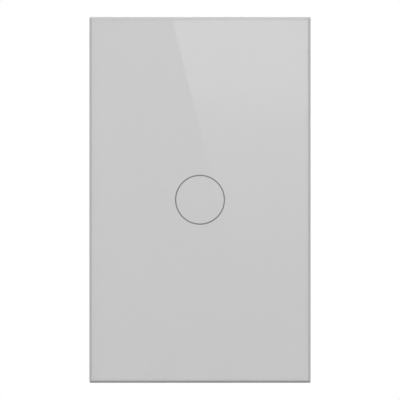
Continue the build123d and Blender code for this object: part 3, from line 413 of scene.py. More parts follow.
bare_aluminium = metal("bare_aluminium", (0.66, 0.66, 0.66), 0.32)
module_gilt = metal("module_gilt", (0.8, 0.6, 0.3), 0.3)
# Where the ground edge's colour, partly painted shade, starts and stops darkening towards the side
deepens_from, deepens_to = glass_low.y + 0.9 * MM, glass_low.y + 1.8 * MM
ground_edge = ground_glass("ground_edge", (0.53, 0.532, 0.531), (0.3, 0.33, 0.32), deepens_from, deepens_to)


# Short calls for modelling

X, Y, Z = range(3)

# Turns: two about Y, one that faces a screw backwards, and two that stand a number up
QUARTER_TURN, HALF_TURN = (0, math.pi / 2, 0), (0, math.pi, 0)
FACING_BACK = (0, 0, math.pi)
READ_FROM_FRONT, READ_FROM_BEHIND = (math.pi / 2, 0, 0), (math.pi / 2, 0, math.pi)

# How far a cutter stands out beyond the face that it cuts
BEYOND = 1 * MM


def alone(piece=None):
    """Selects only this piece, or nothing."""
    bpy.ops.object.select_all(action="DESELECT")
    bpy.context.view_layer.objects.active = piece
    if piece:
        piece.select_set(True)


def settle(name):
    """Names the active piece and puts its place, turn and size into its mesh."""
    piece = bpy.context.object
    piece.name = name
    piece.data.name = name
    bpy.ops.object.transform_apply(location=True, rotation=True, scale=True)
    return piece


def moved(piece, shift):
    """Moves a piece, with its place in its mesh."""
    alone(piece)
    piece.location = shift
    return settle(piece.name)


def at(x, y, z):
    """A point given in millimetres."""
    return Vector((x, y, z)) * MM


def block(name, low, high):
    """A box between two corners."""
    alone()
    low, high = Vector(low), Vector(high)
    bpy.ops.mesh.primitive_cube_add(size=1, location=(low + high) / 2, scale=high - low)
    return settle(name)


def rod(name, start, end, radius, sides=32, end_radius=None):
    """A round bar or a cone from one point to another."""
    alone()
    start, end = Vector(start), Vector(end)
    way = end - start
    bpy.ops.mesh.primitive_cone_add(
        vertices=sides,
        radius1=radius,
        radius2=radius if end_radius is None else end_radius,
        depth=way.length,
        location=(start + end) / 2,
        rotation=way.to_track_quat("Z", "Y").to_euler(),
    )
    return settle(name)


def slab(name, half, depths, middle=(0, 0)):
    """A box with half sizes in X and Z, between two depths along Y, about a place in X and Z."""
    (half_x, half_z), (front, back), (x, z) = half, depths, middle
    return block(name, (x - half_x, front, z - half_z), (x + half_x, back, z + half_z))


def strip(name, start, end, width, front, back):
    """A flat bar on a board, from one point to another in X and Z."""
    alone()
    (x0, z0), (x1, z1) = start, end
    bpy.ops.mesh.primitive_cube_add(
        size=1,
        location=((x0 + x1) / 2, (front + back) / 2, (z0 + z1) / 2),
        rotation=(0, -math.atan2(z1 - z0, x1 - x0), 0),
        scale=(math.hypot(x1 - x0, z1 - z0) + width, back - front, width),
    )
    return settle(name)


# How far print stands off a board, and how far a piece reaches into what carries it
LAYER, FIXED = 0.03 * MM, 0.02 * MM
SECOND_BAR = 0.86


def line_of_strips(name, corners, width, board_face, height, outwards):
    """Bars through corners in X and Z millimetres; every second one is smaller, so that no faces meet."""
    strips = []
    for index, (start, end) in enumerate(zip(corners, corners[1:])):
        ends = [(x * MM, z * MM) for x, z in (start, end)]
        share = SECOND_BAR if index % 2 else 1.0
        front, back = sorted((board_face + outwards * height * share, board_face - outwards * FIXED))
        strips.append(strip(name, *ends, share * width, front, back))
    return strips


def pick(piece, kind, test):
    """Opens a piece for editing with only the edges or faces selected that pass a test."""
    alone(piece)
    bpy.ops.object.mode_set(mode="EDIT")
    bpy.ops.mesh.select_mode(type={"edges": "EDGE", "faces": "FACE"}[kind])
    bpy.ops.mesh.select_all(action="DESELECT")
    mesh = bmesh.from_edit_mesh(piece.data)
    for item in getattr(mesh, kind):
        if test(item):
            item.select_set(True)
    bmesh.update_edit_mesh(piece.data)


def pick_all(piece):
    """Opens a piece for editing with all of it selected."""
    alone(piece)
    bpy.ops.object.mode_set(mode="EDIT")
    bpy.ops.mesh.select_all(action="SELECT")


def finish_edit():
    """Closes the editing that pick or pick_all opened."""
    bpy.ops.object.mode_set(mode="OBJECT")


def lies_at(item, axis, value):
    """Whether all corners of an edge or a face lie at this value of an axis."""
    return all(abs(vertex.co[axis] - value) < 0.005 * MM for vertex in item.verts)


def runs_along(edge, axis):
    """Whether an edge runs along this axis."""
    way = (edge.verts[1].co - edge.verts[0].co).normalized()
    return abs(way[axis]) > 0.999


def round_edges(piece, test, width, segments):
    """Rounds the edges that pass a test."""
    pick(piece, "edges", test)
    bpy.ops.mesh.bevel(offset=width, offset_type="OFFSET", segments=segments, affect="EDGES")
    finish_edit()
    return piece


def modify(piece, kind, **settings):
    """Adds a modifier and applies it."""
    alone(piece)
    modifier = piece.modifiers.new(kind.lower(), kind)
    for name, value in settings.items():
        setattr(modifier, name, value)
    bpy.ops.object.modifier_apply(modifier=modifier.name)
    return piece


def smooth(piece, angle=35):
    """Shades round faces smooth and keeps sharp edges and flat faces as they are."""
    alone(piece)
    bpy.ops.object.shade_smooth_by_angle(angle=math.radians(angle))
    return modify(piece, "WEIGHTED_NORMAL", mode="FACE_AREA", weight=100, keep_sharp=True)


DOUBLES, SLIVERS = 0.001 * MM, 0.004 * MM


def merge_slivers(piece):
    """Merges corners that lie closer together than any real edge is long."""
    pick_all(piece)
    bpy.ops.mesh.remove_doubles(threshold=SLIVERS)
    finish_edit()
    return piece


def soften(piece, width, segments=2, angle=35):
    """Rounds all sharp edges a little and shades the rest smooth."""
    modify(
        piece,
        "BEVEL",
        width=width,
        segments=segments,
        limit_method="ANGLE",
        angle_limit=math.radians(angle),
        harden_normals=False,
    )
    return smooth(merge_slivers(piece), angle)


def discard(*shapes):
    """Removes shapes that aren't needed any more."""
    for shape in shapes:
        bpy.data.objects.remove(shape)


def cut(piece, other):
    """Cuts the other shape out of a piece and removes the other."""
    modify(piece, "BOOLEAN", object=other, operation="DIFFERENCE", solver="EXACT")
    discard(other)
    return merge_slivers(piece)


def drill(piece, x, z, start, end, radius, sides=32, end_radius=None):
    """Cuts a round hole along Y, from one depth to another."""
    return cut(piece, rod("drill", (x, start, z), (x, end, z), radius, sides, end_radius))


def paint(piece, finish):
    """Gives a whole piece one finish."""
    piece.data.materials.clear()
    piece.data.materials.append(finish)
    return piece


def join(name, pieces):
    """One object made of several."""
    alone(pieces[0])
    for piece in pieces:
        piece.select_set(True)
    bpy.ops.object.join()
    joined = bpy.context.object
    joined.name = name
    joined.data.name = name
    return joined


def copy_to(piece, name, shift, turn=(0, 0, 0)):
    """A copy with its own mesh, turned and moved."""
    alone(piece)
    bpy.ops.object.duplicate()
    bpy.context.object.location = shift
    bpy.context.object.rotation_euler = turn
    return settle(name)


def copies(shape, places, turn=(0, 0, 0)):
    """Copies of one shape, each turned and then moved to its place."""
    return [copy_to(shape, shape.name, shift, turn) for shift in places]


def spread(shape, middles, depth=0.0):
    """Copies of one shape at the X and Z of each middle, all at one depth, and the shape removed."""
    pieces = copies(shape, [(middle.x, depth, middle.z) for middle in middles])
    discard(shape)
    return pieces


def face_outwards(piece):
    """Merges doubles and points every face outwards."""
    pick_all(piece)
    bpy.ops.mesh.remove_doubles(threshold=DOUBLES)
    bpy.ops.mesh.normals_make_consistent(inside=False)
    if bmesh.from_edit_mesh(piece.data).calc_volume(signed=True) < 0:
        bpy.ops.mesh.flip_normals()
    finish_edit()
    return piece


def in_mm(*profile):
    """A profile whose radii and depths are given in millimetres."""
    return [(radius * MM, depth * MM) for radius, depth in profile]


def lathe(name, profile, steps=48):
    """A round piece: a profile of radii and depths, turned about the Y axis."""
    alone()
    bpy.ops.mesh.primitive_circle_add(vertices=len(profile), radius=1, fill_type="NOTHING")
    piece = settle(name)
    for vertex, (radius, depth) in zip(piece.data.vertices, profile):
        vertex.co = (radius, depth, 0)
    pick(piece, "edges", lambda edge: lies_at(edge, X, 0))
    bpy.ops.mesh.delete(type="EDGE")
    finish_edit()
    modify(piece, "SCREW", axis="Y", angle=math.tau, steps=steps, render_steps=steps)
    return face_outwards(piece)


RIDGE_SHARE = 0.86


def helix(name, foot, tip, root, crest, pitch, steps=20):
    """The ridge of a thread about the Y axis."""
    alone()
    height, width = crest - root, RIDGE_SHARE * pitch
    bpy.ops.mesh.primitive_circle_add(vertices=3, radius=1, fill_type="NGON", rotation=(0, 0, -math.pi / 2))
    ridge = settle(name)
    ridge.scale = (height / 1.5, width / math.sqrt(3), 1)
    ridge.location = (root + height / 3, foot + width / 2, 0)
    settle(name)
    modify(
        ridge,
        "SCREW",
        axis="Y",
        angle=math.tau,
        screw_offset=pitch,
        iterations=int((tip - foot - width) / pitch),
        steps=steps,
        render_steps=steps,
        use_merge_vertices=True,
        merge_threshold=DOUBLES,
    )
    pick_all(ridge)
    bpy.ops.mesh.fill_holes(sides=3)
    finish_edit()
    return face_outwards(ridge)


def number(text, size, place_at, turn, rise):
    """A plain raised number."""
    alone()
    bpy.ops.object.text_add(location=place_at, rotation=turn)
    label = bpy.context.object
    label.data.body = text
    label.data.size = size
    label.data.extrude = rise
    label.data.resolution_u = 3
    label.data.align_x = "CENTER"
    label.data.align_y = "CENTER"
    bpy.ops.object.convert(target="MESH")
    return face_outwards(merge_slivers(settle("number")))


# Short calls for putting pieces in place of the CAD nodes

done = set()


def add_on(piece, node, finish=None):
    """Puts a piece on the body of a CAD node and, where it has no finish yet, gives it the finish of the
    node's slot.
    """
    if not piece.data.materials:
        paint(piece, finish or finishes[slot_of[node]])
    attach(piece, body_of[node])
    return piece


def dress(piece, node, finish=None):
    """Puts a piece in place of a CAD node."""
    add_on(piece, node, finish)
    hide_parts(node)
    done.add(node)
    return piece


def merged(node):
    """A copy of a CAD node's mesh with its doubles merged and its flat faces whole."""
    source = frame["nodes"][node]
    piece = bpy.data.objects.new(node + "_shape", source.data.copy())
    bpy.context.scene.collection.objects.link(piece)
    piece.data.materials.clear()
    alone(piece)
    bpy.ops.mesh.customdata_custom_splitnormals_clear()
    pick_all(piece)
    bpy.ops.mesh.remove_doubles(threshold=DOUBLES)
    bpy.ops.mesh.dissolve_limited(angle_limit=math.radians(0.5))
    finish_edit()
    return piece


def middle_of(node):
    """The middle of a CAD node's box."""
    low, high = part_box(node)
    return (low + high) / 2


def boxes_of(node):
    """The box of each separate solid of a CAD node, from low to high and then from left to right."""
    pick_all(merged(node))
    bpy.ops.mesh.separate(type="LOOSE")
    finish_edit()
    boxes = []
    for part in list(bpy.context.selected_objects):
        points = [vertex.co for vertex in part.data.vertices]
        low = Vector([min(point[axis] for point in points) for axis in (X, Y, Z)])
        high = Vector([max(point[axis] for point in points) for axis in (X, Y, Z)])
        boxes.append((low, high))
        discard(part)
    return sorted(boxes, key=lambda box: (round(box[0].z, 4), box[0].x))


def centres_of(node):
    """The middle of each separate solid of a CAD node."""
    return [(low + high) / 2 for low, high in boxes_of(node)]


def casts_nothing(piece):
    """Keeps a piece's shadow and reflected light off the other pieces."""
    piece.visible_diffuse = False
    piece.visible_shadow = False


# Glass front: a plate whose front edge is rounded by drawing the face forwards and inwards in steps

FRONT_ROUNDING = 1.2 * MM
ROUNDING_INSET = 0.95 * MM
CORNER_ROUNDING = 0.4 * MM
BACK_CHAMFER = 0.25 * MM
COAT_CLEARANCE = 0.02 * MM
ROUNDING_STEPS = 10

shoulder = glass_low.y + FRONT_ROUNDING
glass_back = glass_high.y - COAT_CLEARANCE
glass_front = block(
    "glass_front", (glass_low.x, shoulder, glass_low.z), (glass_high.x, glass_back, glass_high.z)
)
round_edges(glass_front, lambda edge: runs_along(edge, Y), CORNER_ROUNDING, 4)
round_edges(glass_front, lambda edge: lies_at(edge, Y, glass_back), BACK_CHAMFER, 1)
pick(glass_front, "faces", lambda face: lies_at(face, Y, shoulder))
half_width, half_height = glass_high.x, (glass_high.z - glass_low.z) / 2
depth, inset = 0.0, 0.0
for step in range(1, ROUNDING_STEPS + 1):
    angle = math.pi / 2 * step / ROUNDING_STEPS
    next_depth, next_inset = FRONT_ROUNDING * math.sin(angle), ROUNDING_INSET * (1 - math.cos(angle))
    bpy.ops.mesh.extrude_region_move(TRANSFORM_OT_translate={"value": (0, depth - next_depth, 0)})
    bpy.ops.transform.resize(
        value=(
            (half_width - next_inset) / (half_width - inset),
            1,
            (half_height - next_inset) / (half_height - inset),
        ),
        center_override=(0, 0, 0),
    )
    depth, inset = next_depth, next_inset
finish_edit()
smooth(glass_front, 40)
casts_nothing(glass_front)
glass_front.data.materials.append(finishes["clear_glass"])
glass_front.data.materials.append(ground_edge)
for face in glass_front.data.polygons:
    face.material_index = 0 if abs(face.normal.y) > 0.9999 else 1
dress(glass_front, "glass_panel")

# Light ring: a turned clear ring whose nose stands against the print

RING_BORE, RING_NOSE = 6.5 * MM, 9.5 * MM
RING_CHAMFER = 0.1 * MM
FLANGE_THICKNESS = 0.4 * MM

ring_low, ring_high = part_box("light_ring")
ring_front, ring_back, ring_radius = ring_low.y, ring_high.y, ring_high.x
flange_front = ring_back - FLANGE_THICKNESS
light_ring = lathe(
    "light_ring_shape",
    [
        (RING_BORE, ring_front + RING_CHAMFER),
        (RING_BORE + RING_CHAMFER, ring_front),
        (RING_NOSE - RING_CHAMFER, ring_front),
        (RING_NOSE, ring_front + RING_CHAMFER),
        (RING_NOSE, flange_front),
        (ring_radius - RING_CHAMFER, flange_front),
        (ring_radius, flange_front + RING_CHAMFER),
        (ring_radius, ring_back - RING_CHAMFER),
        (ring_radius - RING_CHAMFER, ring_back),
        (RING_BORE + RING_CHAMFER, ring_back),
        (RING_BORE, ring_back - RING_CHAMFER),
    ],
    96,
)
casts_nothing(light_ring)
dress(smooth(light_ring), "light_ring")

# Panel frame: the CAD tray with ribs, gussets, heat stakes and the marks of the ejector pins.
# These sizes and places are in millimetres.

FRAME_INSIDE = -5.3
WALL_X, WALL_Z = 34.35, 58.1
ROOT = 0.2
RIB_HALF_WIDTH, RIB_HEIGHT = 0.4, 0.7
CROSS_RIB_PLACES = (38.5, 47.0)
LONG_RIB_PLACE = 12.0
GUSSET_HALF_WIDTH, GUSSET_BACK = 0.4, -2.2
GUSSET_REACH, GUSSET_ROOT = 0.9, 0.1
GUSSETS_ALONG_X = (-27, -18, -6, 6, 18, 27)
GUSSETS_ALONG_Z = (-52, -42, -33, -6, 6, 33, 42, 52)
STAKE_RING, STAKE_TURNS = 11.25, (45, 135, 225, 315)
STAKE_PROFILE = ((0, -0.2), (0.7, -0.2), (0.7, 0.35), (1.0, 0.42), (0.9, 0.6), (0, 0.72))
CORNER_MARKS = ((-29, 50), (29, 50), (-29, -50), (29, -50))
INNER_MARKS = ((0, 28), (0, -28), (-28, 4), (28, 4), (-22, 40), (22, -42))
MARK_PROFILE = ((0, 0.03), (1.6, 0.03), (1.7, 0.08), (1.85, 0.08), (1.95, -0.1), (0, -0.1))
TRAY_EDGE, RIB_EDGE = 0.2, 0.12

rib_depths = ((FRAME_INSIDE - ROOT) * MM, (FRAME_INSIDE + RIB_HEIGHT) * MM)
tray_pieces = [soften(merged("panel_frame"), TRAY_EDGE * MM)]

cross_rib = slab("rib", (WALL_X * MM, RIB_HALF_WIDTH * MM), rib_depths)
soften(cross_rib, RIB_EDGE * MM, 1)
tray_pieces += copies(cross_rib, [at(0, 0, end * z) for end in (-1, 1) for z in CROSS_RIB_PLACES])
discard(cross_rib)

long_half, long_z = (WALL_Z - CROSS_RIB_PLACES[0]) / 2, (WALL_Z + CROSS_RIB_PLACES[0]) / 2
long_rib = slab("rib", (RIB_HALF_WIDTH * MM, long_half * MM), rib_depths)
soften(long_rib, RIB_EDGE * MM, 1)
places = [at(side * LONG_RIB_PLACE, 0, end * long_z) for side in (-1, 1) for end in (-1, 1)]
tray_pieces += copies(long_rib, places)
discard(long_rib)

gusset_half = (GUSSET_REACH + GUSSET_ROOT) / 2
gusset_inset = (GUSSET_REACH - GUSSET_ROOT) / 2
gusset_depths = (rib_depths[0], GUSSET_BACK * MM)
gusset = slab("gusset", (GUSSET_HALF_WIDTH * MM, gusset_half * MM), gusset_depths)
soften(gusset, RIB_EDGE * MM, 1)
for end in (-1, 1):
    z = end * (WALL_Z - gusset_inset)
    tray_pieces += copies(gusset, [at(x, 0, z) for x in GUSSETS_ALONG_X])
    x = end * (WALL_X - gusset_inset)
    tray_pieces += copies(gusset, [at(x, 0, z) for z in GUSSETS_ALONG_Z], QUARTER_TURN)
discard(gusset)

stake = lathe("stake", in_mm(*STAKE_PROFILE), 24)
turns = [math.radians(turn) for turn in STAKE_TURNS]
places = [at(STAKE_RING * math.cos(turn), FRAME_INSIDE, STAKE_RING * math.sin(turn)) for turn in turns]
tray_pieces += copies(smooth(stake), places)
discard(stake)

mark = lathe("mark", in_mm(*MARK_PROFILE), 32)
tray_pieces += copies(smooth(mark), [at(x, FRAME_INSIDE, z) for x, z in CORNER_MARKS + INNER_MARKS])
discard(mark)
dress(join("panel_frame_shape", tray_pieces), "panel_frame")

# Screws


def cross_recess(head, face, reach, width, depth):
    """Cuts a cross recess that narrows to half towards its foot into a head that faces -Y."""
    foot = face + depth
    for half in ((reach, width / 2), (width / 2, reach)):
        wing = slab("wing", half, (face - depth, foot))
        pick(wing, "faces", lambda item: lies_at(item, Y, foot))
        bpy.ops.transform.resize(value=(0.5, 1, 0.5), center_override=(0, foot, 0))
        finish_edit()
        cut(head, wing)


# Shares of a screw's head, then of its thread's radius, then of its root and its taper
HEAD_RIM, HEAD_SEAT, SLOT_FOOT = 0.08, 0.97, 0.55
RECESS_REACH, RECESS_WIDTH, RECESS_DEPTH = 0.55, 0.3, 0.7
ROOT_SHARE, TIP_SHARE, TAPER_SHARE = 0.78, 0.5, 0.6
RIDGE_FOOT, RIDGE_END = 0.98, 0.6

# Where the shaft starts, inside the head
SHAFT_START = -0.1 * MM


def screw_shape(sizes, slot=0.0, crown=0.5):
    """A screw on the Y axis with its head's seat at 0, facing -Y, from its sizes in millimetres."""
    head_radius, head_height, radius, length, pitch, plain, slot = (size * MM for size in (*sizes, slot))
    profile = [(0, -head_height)]
    for turn in (math.radians(15 * part) for part in range(7)):
        radius_here = head_radius * (1 - crown + crown * math.sin(turn))
        profile.append((radius_here, -head_height * (1 - crown + crown * math.cos(turn))))
    profile += [(head_radius, -HEAD_RIM * head_height), (HEAD_SEAT * head_radius, 0), (0, 0)]
    head = lathe("head", profile, 64)
    if slot:
        slot_depths = (-2 * head_height, -SLOT_FOOT * head_height)
        cut(head, slab("slot", (2 * head_radius, slot / 2), slot_depths))
    reach, width = RECESS_REACH * head_radius, RECESS_WIDTH * head_radius
    cross_recess(head, -head_height, reach, width, RECESS_DEPTH * head_height)
    root, taper = ROOT_SHARE * radius, TAPER_SHARE * radius
    profile = [(0, SHAFT_START), (root, SHAFT_START), (root, length - taper)]
    profile += [(TIP_SHARE * radius, length), (0, length)]
    shaft = lathe("shaft", profile, 32)
    ridge = helix("ridge", plain, length - RIDGE_END * taper, RIDGE_FOOT * root, radius, pitch)
    return smooth(join("screw", [head, shaft, ridge]), 30)


def place_screws(shape, node, seat):
    """Copies of one screw in place of a CAD node, with their seats at this depth, and the screw removed."""
    dress(join(node + "_shape", spread(shape, centres_of(node), seat)), node)


# Head radius and height, thread radius, length, pitch and length without thread, in millimetres
BOX_HEAD, CLAMP_HEAD = 2.2, 1.7
HOUSING_SCREW = (2.2, 1.6, 1.25, 6.5, 0.9, 1.4)
BOARD_SCREW = (1.8, 1.1, 1.0, 6.0, 0.7, 1.3)
BOX_SCREW = (3.2, BOX_HEAD, 1.75, 21.2, 0.794, 1.3)
CLAMP_SCREW = (2.75, CLAMP_HEAD, 1.45, 4.6, 0.5, 0.2)
SLOT_WIDTH = 0.8

# How domed the two slotted heads are, as a share
BOX_CROWN, CLAMP_CROWN = 0.62, 0.3

# Where the screws are seated
PLATE_FRONT, TOUCH_BOARD_FRONT, POWER_BOARD_FRONT = -2.8 * MM, -3.8 * MM, 7.0 * MM

place_screws(screw_shape(HOUSING_SCREW), "housing_screws", PLATE_FRONT)
board_screw = screw_shape(BOARD_SCREW)
place_screws(copy_to(board_screw, "screw", (0, 0, 0)), "touch_board_screws", TOUCH_BOARD_FRONT)
place_screws(board_screw, "power_board_screws", POWER_BOARD_FRONT)

box_screw = screw_shape(BOX_SCREW, SLOT_WIDTH, BOX_CROWN)
for node in ("box_screw_upper", "box_screw_lower"):
    seat = (0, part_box(node)[0].y + BOX_HEAD * MM, middle_of(node).z)
    dress(copy_to(box_screw, node + "_shape", seat), node)

poles = range(1, 5)
clamp_screw = screw_shape(CLAMP_SCREW, SLOT_WIDTH, CLAMP_CROWN)
for pole in poles:
    node = f"terminal_screw_{pole}"
    middle = middle_of(node)
    seat = (middle.x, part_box(node)[1].y - CLAMP_HEAD * MM, middle.z)
    dress(copy_to(clamp_screw, node + "_shape", seat, FACING_BACK), node)
discard(box_screw, clamp_screw)

# Terminal block: the CAD block with funnels at its wire entries and a raised number at each pole

WIRE_DEPTH, WIRE_BORE = 12.25 * MM, 1.85 * MM
FUNNEL = 0.7 * MM
FUNNEL_SLACK = 0.05 * MM
BLOCK_EDGE = 0.15 * MM
NUMBER_PLACE, NUMBER_SIZE, NUMBER_RISE = -19.4 * MM, 2.6 * MM, 0.14 * MM

block_low, block_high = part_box("terminal_block")
terminal_block = merged("terminal_block")
pole_places = [middle_of(f"terminal_cage_{pole}").x for pole in poles]
for x in pole_places:
    mouth = (x, WIRE_DEPTH, block_low.z - FUNNEL_SLACK)
    throat = (x, WIRE_DEPTH, block_low.z + FUNNEL + FUNNEL_SLACK)
    wide, narrow = WIRE_BORE + FUNNEL + FUNNEL_SLACK, WIRE_BORE - FUNNEL_SLACK
    cut(terminal_block, rod("funnel", mouth, throat, wide, 48, narrow))
soften(terminal_block, BLOCK_EDGE, 2, 60)
block_pieces = [paint(terminal_block, finishes["terminal_plastic"])]
for pole, x in zip(poles, pole_places):
    seat = (x, block_high.y, NUMBER_PLACE)
    label = number(str(pole), NUMBER_SIZE, seat, READ_FROM_BEHIND, NUMBER_RISE)
    block_pieces.append(paint(label, pad_print))
dress(join("terminal_block_shape", block_pieces), "terminal_block")

# Touch spring: round wire wound about Y, standing on its pad

SPRING_RADIUS, WIRE_RADIUS = 3.275 * MM, 0.225 * MM
SPRING_FOOT, SPRING_HEAD = -4.025 * MM, -6.625 * MM
SPRING_TURNS, SPRING_STEPS, WIRE_SIDES = 2.5, 120, 16

alone()
bpy.ops.mesh.primitive_circle_add(
    vertices=WIRE_SIDES, radius=WIRE_RADIUS, fill_type="NGON", location=(-SPRING_RADIUS, SPRING_HEAD, 0)
)
spring = settle("touch_spring_shape")
modify(
    spring,
    "SCREW",
    axis="Y",
    angle=SPRING_TURNS * math.tau,
    screw_offset=SPRING_FOOT - SPRING_HEAD,
    steps=SPRING_STEPS,
    render_steps=SPRING_STEPS,
)
pick_all(spring)
bpy.ops.mesh.fill_holes(sides=WIRE_SIDES)
finish_edit()
face_outwards(spring)
dress(smooth(spring, 50), "touch_spring")

# Touch board: calls for what is printed and tinned on its front, with places and sizes in millimetres

pads, tracks, prints = [], [], []
pad_depths = (TOUCH_BOARD_FRONT - LAYER, TOUCH_BOARD_FRONT + FIXED)
print_depths = (TOUCH_BOARD_FRONT - LAYER / 2, TOUCH_BOARD_FRONT + FIXED)


def pad(x, z, half):
    """A tinned pad."""
    half_x, half_z = half
    pads.append(slab("pad", (half_x * MM, half_z * MM), pad_depths, (x * MM, z * MM)))


def disc(name, x, z, radius, depths, sides=32):
    """A flat round."""
    front, back = depths
    return rod(name, (x * MM, front, z * MM), (x * MM, back, z * MM), radius * MM, sides)


def round_pad(x, z, radius, bore=0.0):
    """A round pad, or a ring where it has a bore."""
    pads.append(disc("pad", x, z, radius, pad_depths))
    if bore:
        cut(pads[-1], disc("bore", x, z, bore, (TOUCH_BOARD_FRONT - BEYOND, TOUCH_BOARD_FRONT + BEYOND)))


def track(*corners, width=0.28):
    """A track under the mask."""
    tracks.extend(line_of_strips("track", corners, width * MM, TOUCH_BOARD_FRONT, 0.6 * LAYER, -1))


def printed_box(low_x, low_z, high_x, high_z):
    """A box drawn in thin lines."""
    corners = [(low_x, low_z), (high_x, low_z), (high_x, high_z), (low_x, high_z), (low_x, low_z)]
    prints.extend(line_of_strips("print", corners, 0.14 * MM, TOUCH_BOARD_FRONT, 0.5 * LAYER, -1))


def printed_number(text, x, z, size=1.5):
    """A plain printed number."""
    seat = (x * MM, TOUCH_BOARD_FRONT, z * MM)
    prints.append(number(text, size * MM, seat, READ_FROM_FRONT, 0.5 * LAYER))


# Touch chip: a flat package with contacts on its four sides

CONTACT_PITCH, CONTACTS = 0.5 * MM, 8
CONTACT_HALF, CONTACT_HEIGHT, CONTACT_OUT = (0.22 * MM, 0.12 * MM), 0.22 * MM, 0.15 * MM
DIMPLE_INSET, DIMPLE_RADIUS, DIMPLE_DEPTH = 0.8 * MM, 0.35 * MM, 0.06 * MM
PACKAGE_EDGE = 0.08 * MM

(low, high), *resistors = boxes_of("touch_chips")
package = soften(block("package", low, high), PACKAGE_EDGE)
dimple_x, dimple_z = low.x + DIMPLE_INSET, high.z - DIMPLE_INSET
drill(package, dimple_x, dimple_z, low.y - BEYOND, low.y + DIMPLE_DEPTH, DIMPLE_RADIUS, 24)
chip_pieces = [paint(smooth(package), finishes["chip_resin"])]

contact = paint(slab("contact", CONTACT_HALF, (high.y - CONTACT_HEIGHT, high.y + FIXED)), tin)
centre = (low + high) / 2
edge = (high.x - low.x) / 2 + CONTACT_OUT
for index in range(CONTACTS):
    along = (index - (CONTACTS - 1) / 2) * CONTACT_PITCH
    chip_pieces += copies(contact, [(centre.x + side * edge, 0, centre.z + along) for side in (-1, 1)])
    ends = [(centre.x + along, 0, centre.z + side * edge) for side in (-1, 1)]
    chip_pieces += copies(contact, ends, QUARTER_TURN)
discard(contact)

# Resistors: a ceramic body with a dark face and tinned ends, copied to each place

END_LENGTH, END_PROUD = 0.36 * MM, 0.02 * MM
CERAMIC_INSET, CERAMIC_DEPTH = 0.06 * MM, 0.12 * MM
FACE_SIDE, FACE_END, FACE_FRONT, FACE_BACK = 0.06 * MM, 0.4 * MM, 0.04 * MM, 0.3 * MM
CERAMIC_EDGE, FACE_EDGE, END_EDGE = 0.05 * MM, 0.03 * MM, 0.08 * MM
RESISTOR_PAD = (0.7, 0.45)

low, high = resistors[0]
half_x, half_z = (high.x - low.x) / 2, (high.z - low.z) / 2
ceramic = slab("ceramic", (half_x, half_z - CERAMIC_INSET), (low.y + CERAMIC_DEPTH, high.y))
face_depths = (low.y + FACE_FRONT, low.y + FACE_BACK)
face = slab("face", (half_x - FACE_SIDE, half_z - FACE_END), face_depths)
resistor = [paint(soften(ceramic, CERAMIC_EDGE, 1), white_ceramic)]
resistor.append(paint(soften(face, FACE_EDGE, 1), finishes["chip_resin"]))
end_z = half_z - END_LENGTH / 2
end = slab("end", (half_x + END_PROUD, END_LENGTH / 2), (low.y, high.y + FIXED))
paint(soften(end, END_EDGE), tin)
resistor += copies(end, ((0, 0, -end_z), (0, 0, end_z)))
discard(end)
resistor_middles = [(low + high) / 2 for low, high in resistors]
chip_pieces += spread(join("resistor", resistor), resistor_middles)
for middle in resistor_middles:
    for side in (-1, 1):
        pad(middle.x / MM, (middle.z + side * end_z) / MM, RESISTOR_PAD)
dress(join("touch_chips_shape", chip_pieces), "touch_chips")

# Indicator lamps: a white package with a round well of yellow resin, copied to each place

RESIN_PROFILE = in_mm((0, -0.05), (0.25, -0.035), (0.45, 0.01), (0.53, 0.06), (0.53, 0.2), (0, 0.2))
LAMP_SHARE, WELL_MOUTH, WELL_FOOT = 0.84, 0.62, 0.55
WELL_DEPTH, RESIN_DEPTH = 0.25 * MM, 0.1 * MM
SHELL_EDGE = 0.06 * MM
FOOT_START, FOOT_OUT, FOOT_HEIGHT = 0.35 * MM, 0.12 * MM, 0.18 * MM
LAMP_PAD, LAMP_PAD_PLACE = (0.35, 0.45), 0.85

low, high = boxes_of("ring_leds")[0]
lamp_half = (high.x - low.x) / 2
shell_half = LAMP_SHARE * lamp_half
shell = soften(slab("shell", (shell_half, shell_half), (low.y, high.y)), SHELL_EDGE, 1)
drill(shell, 0, 0, low.y - BEYOND, low.y + WELL_DEPTH, WELL_MOUTH * lamp_half, 32, WELL_FOOT * lamp_half)
resin = moved(lathe("resin", RESIN_PROFILE, 32), (0, low.y + RESIN_DEPTH, 0))
lamp_pieces = [paint(smooth(shell), white_ceramic), paint(smooth(resin), finishes["led_resin"])]
foot_end = shell_half + FOOT_OUT
foot_x, foot_half = (foot_end + FOOT_START) / 2, (foot_end - FOOT_START) / 2
foot_depths = (high.y - FOOT_HEIGHT, high.y + FIXED)
for side in (-1, 1):
    foot = slab("foot", (foot_half, shell_half / 2), foot_depths, (side * foot_x, 0))
    lamp_pieces.append(paint(foot, tin))
lamp_middles = centres_of("ring_leds")
dress(join("ring_leds_shape", spread(join("lamp", lamp_pieces), lamp_middles)), "ring_leds")
for middle in lamp_middles:
    for side in (-1, 1):
        pad(middle.x / MM + side * LAMP_PAD_PLACE, middle.z / MM, LAMP_PAD)

# Pairing switch: a dark base under a steel cover, which four rivets hold

COVER_THICKNESS, BASE_INSET, WELL_FLOOR = 0.32 * MM, 0.1 * MM, 0.2 * MM
WELL_RADIUS = 1.3 * MM
RIVET_PLACE = 1.6 * MM
RIVET_PROFILE = in_mm((0, -0.1), (0.12, -0.09), (0.22, -0.04), (0.25, 0.05), (0, 0.05))
LEG_PLACE, LEG_HALF, LEG_HEIGHT = 2.325 * MM, (0.425 * MM, 0.35 * MM), 0.2 * MM
LEG_PAD, LEG_PAD_PLACE = (0.5, 0.55), 2.6
COVER_EDGE, LEG_EDGE = 0.12 * MM, 0.05 * MM

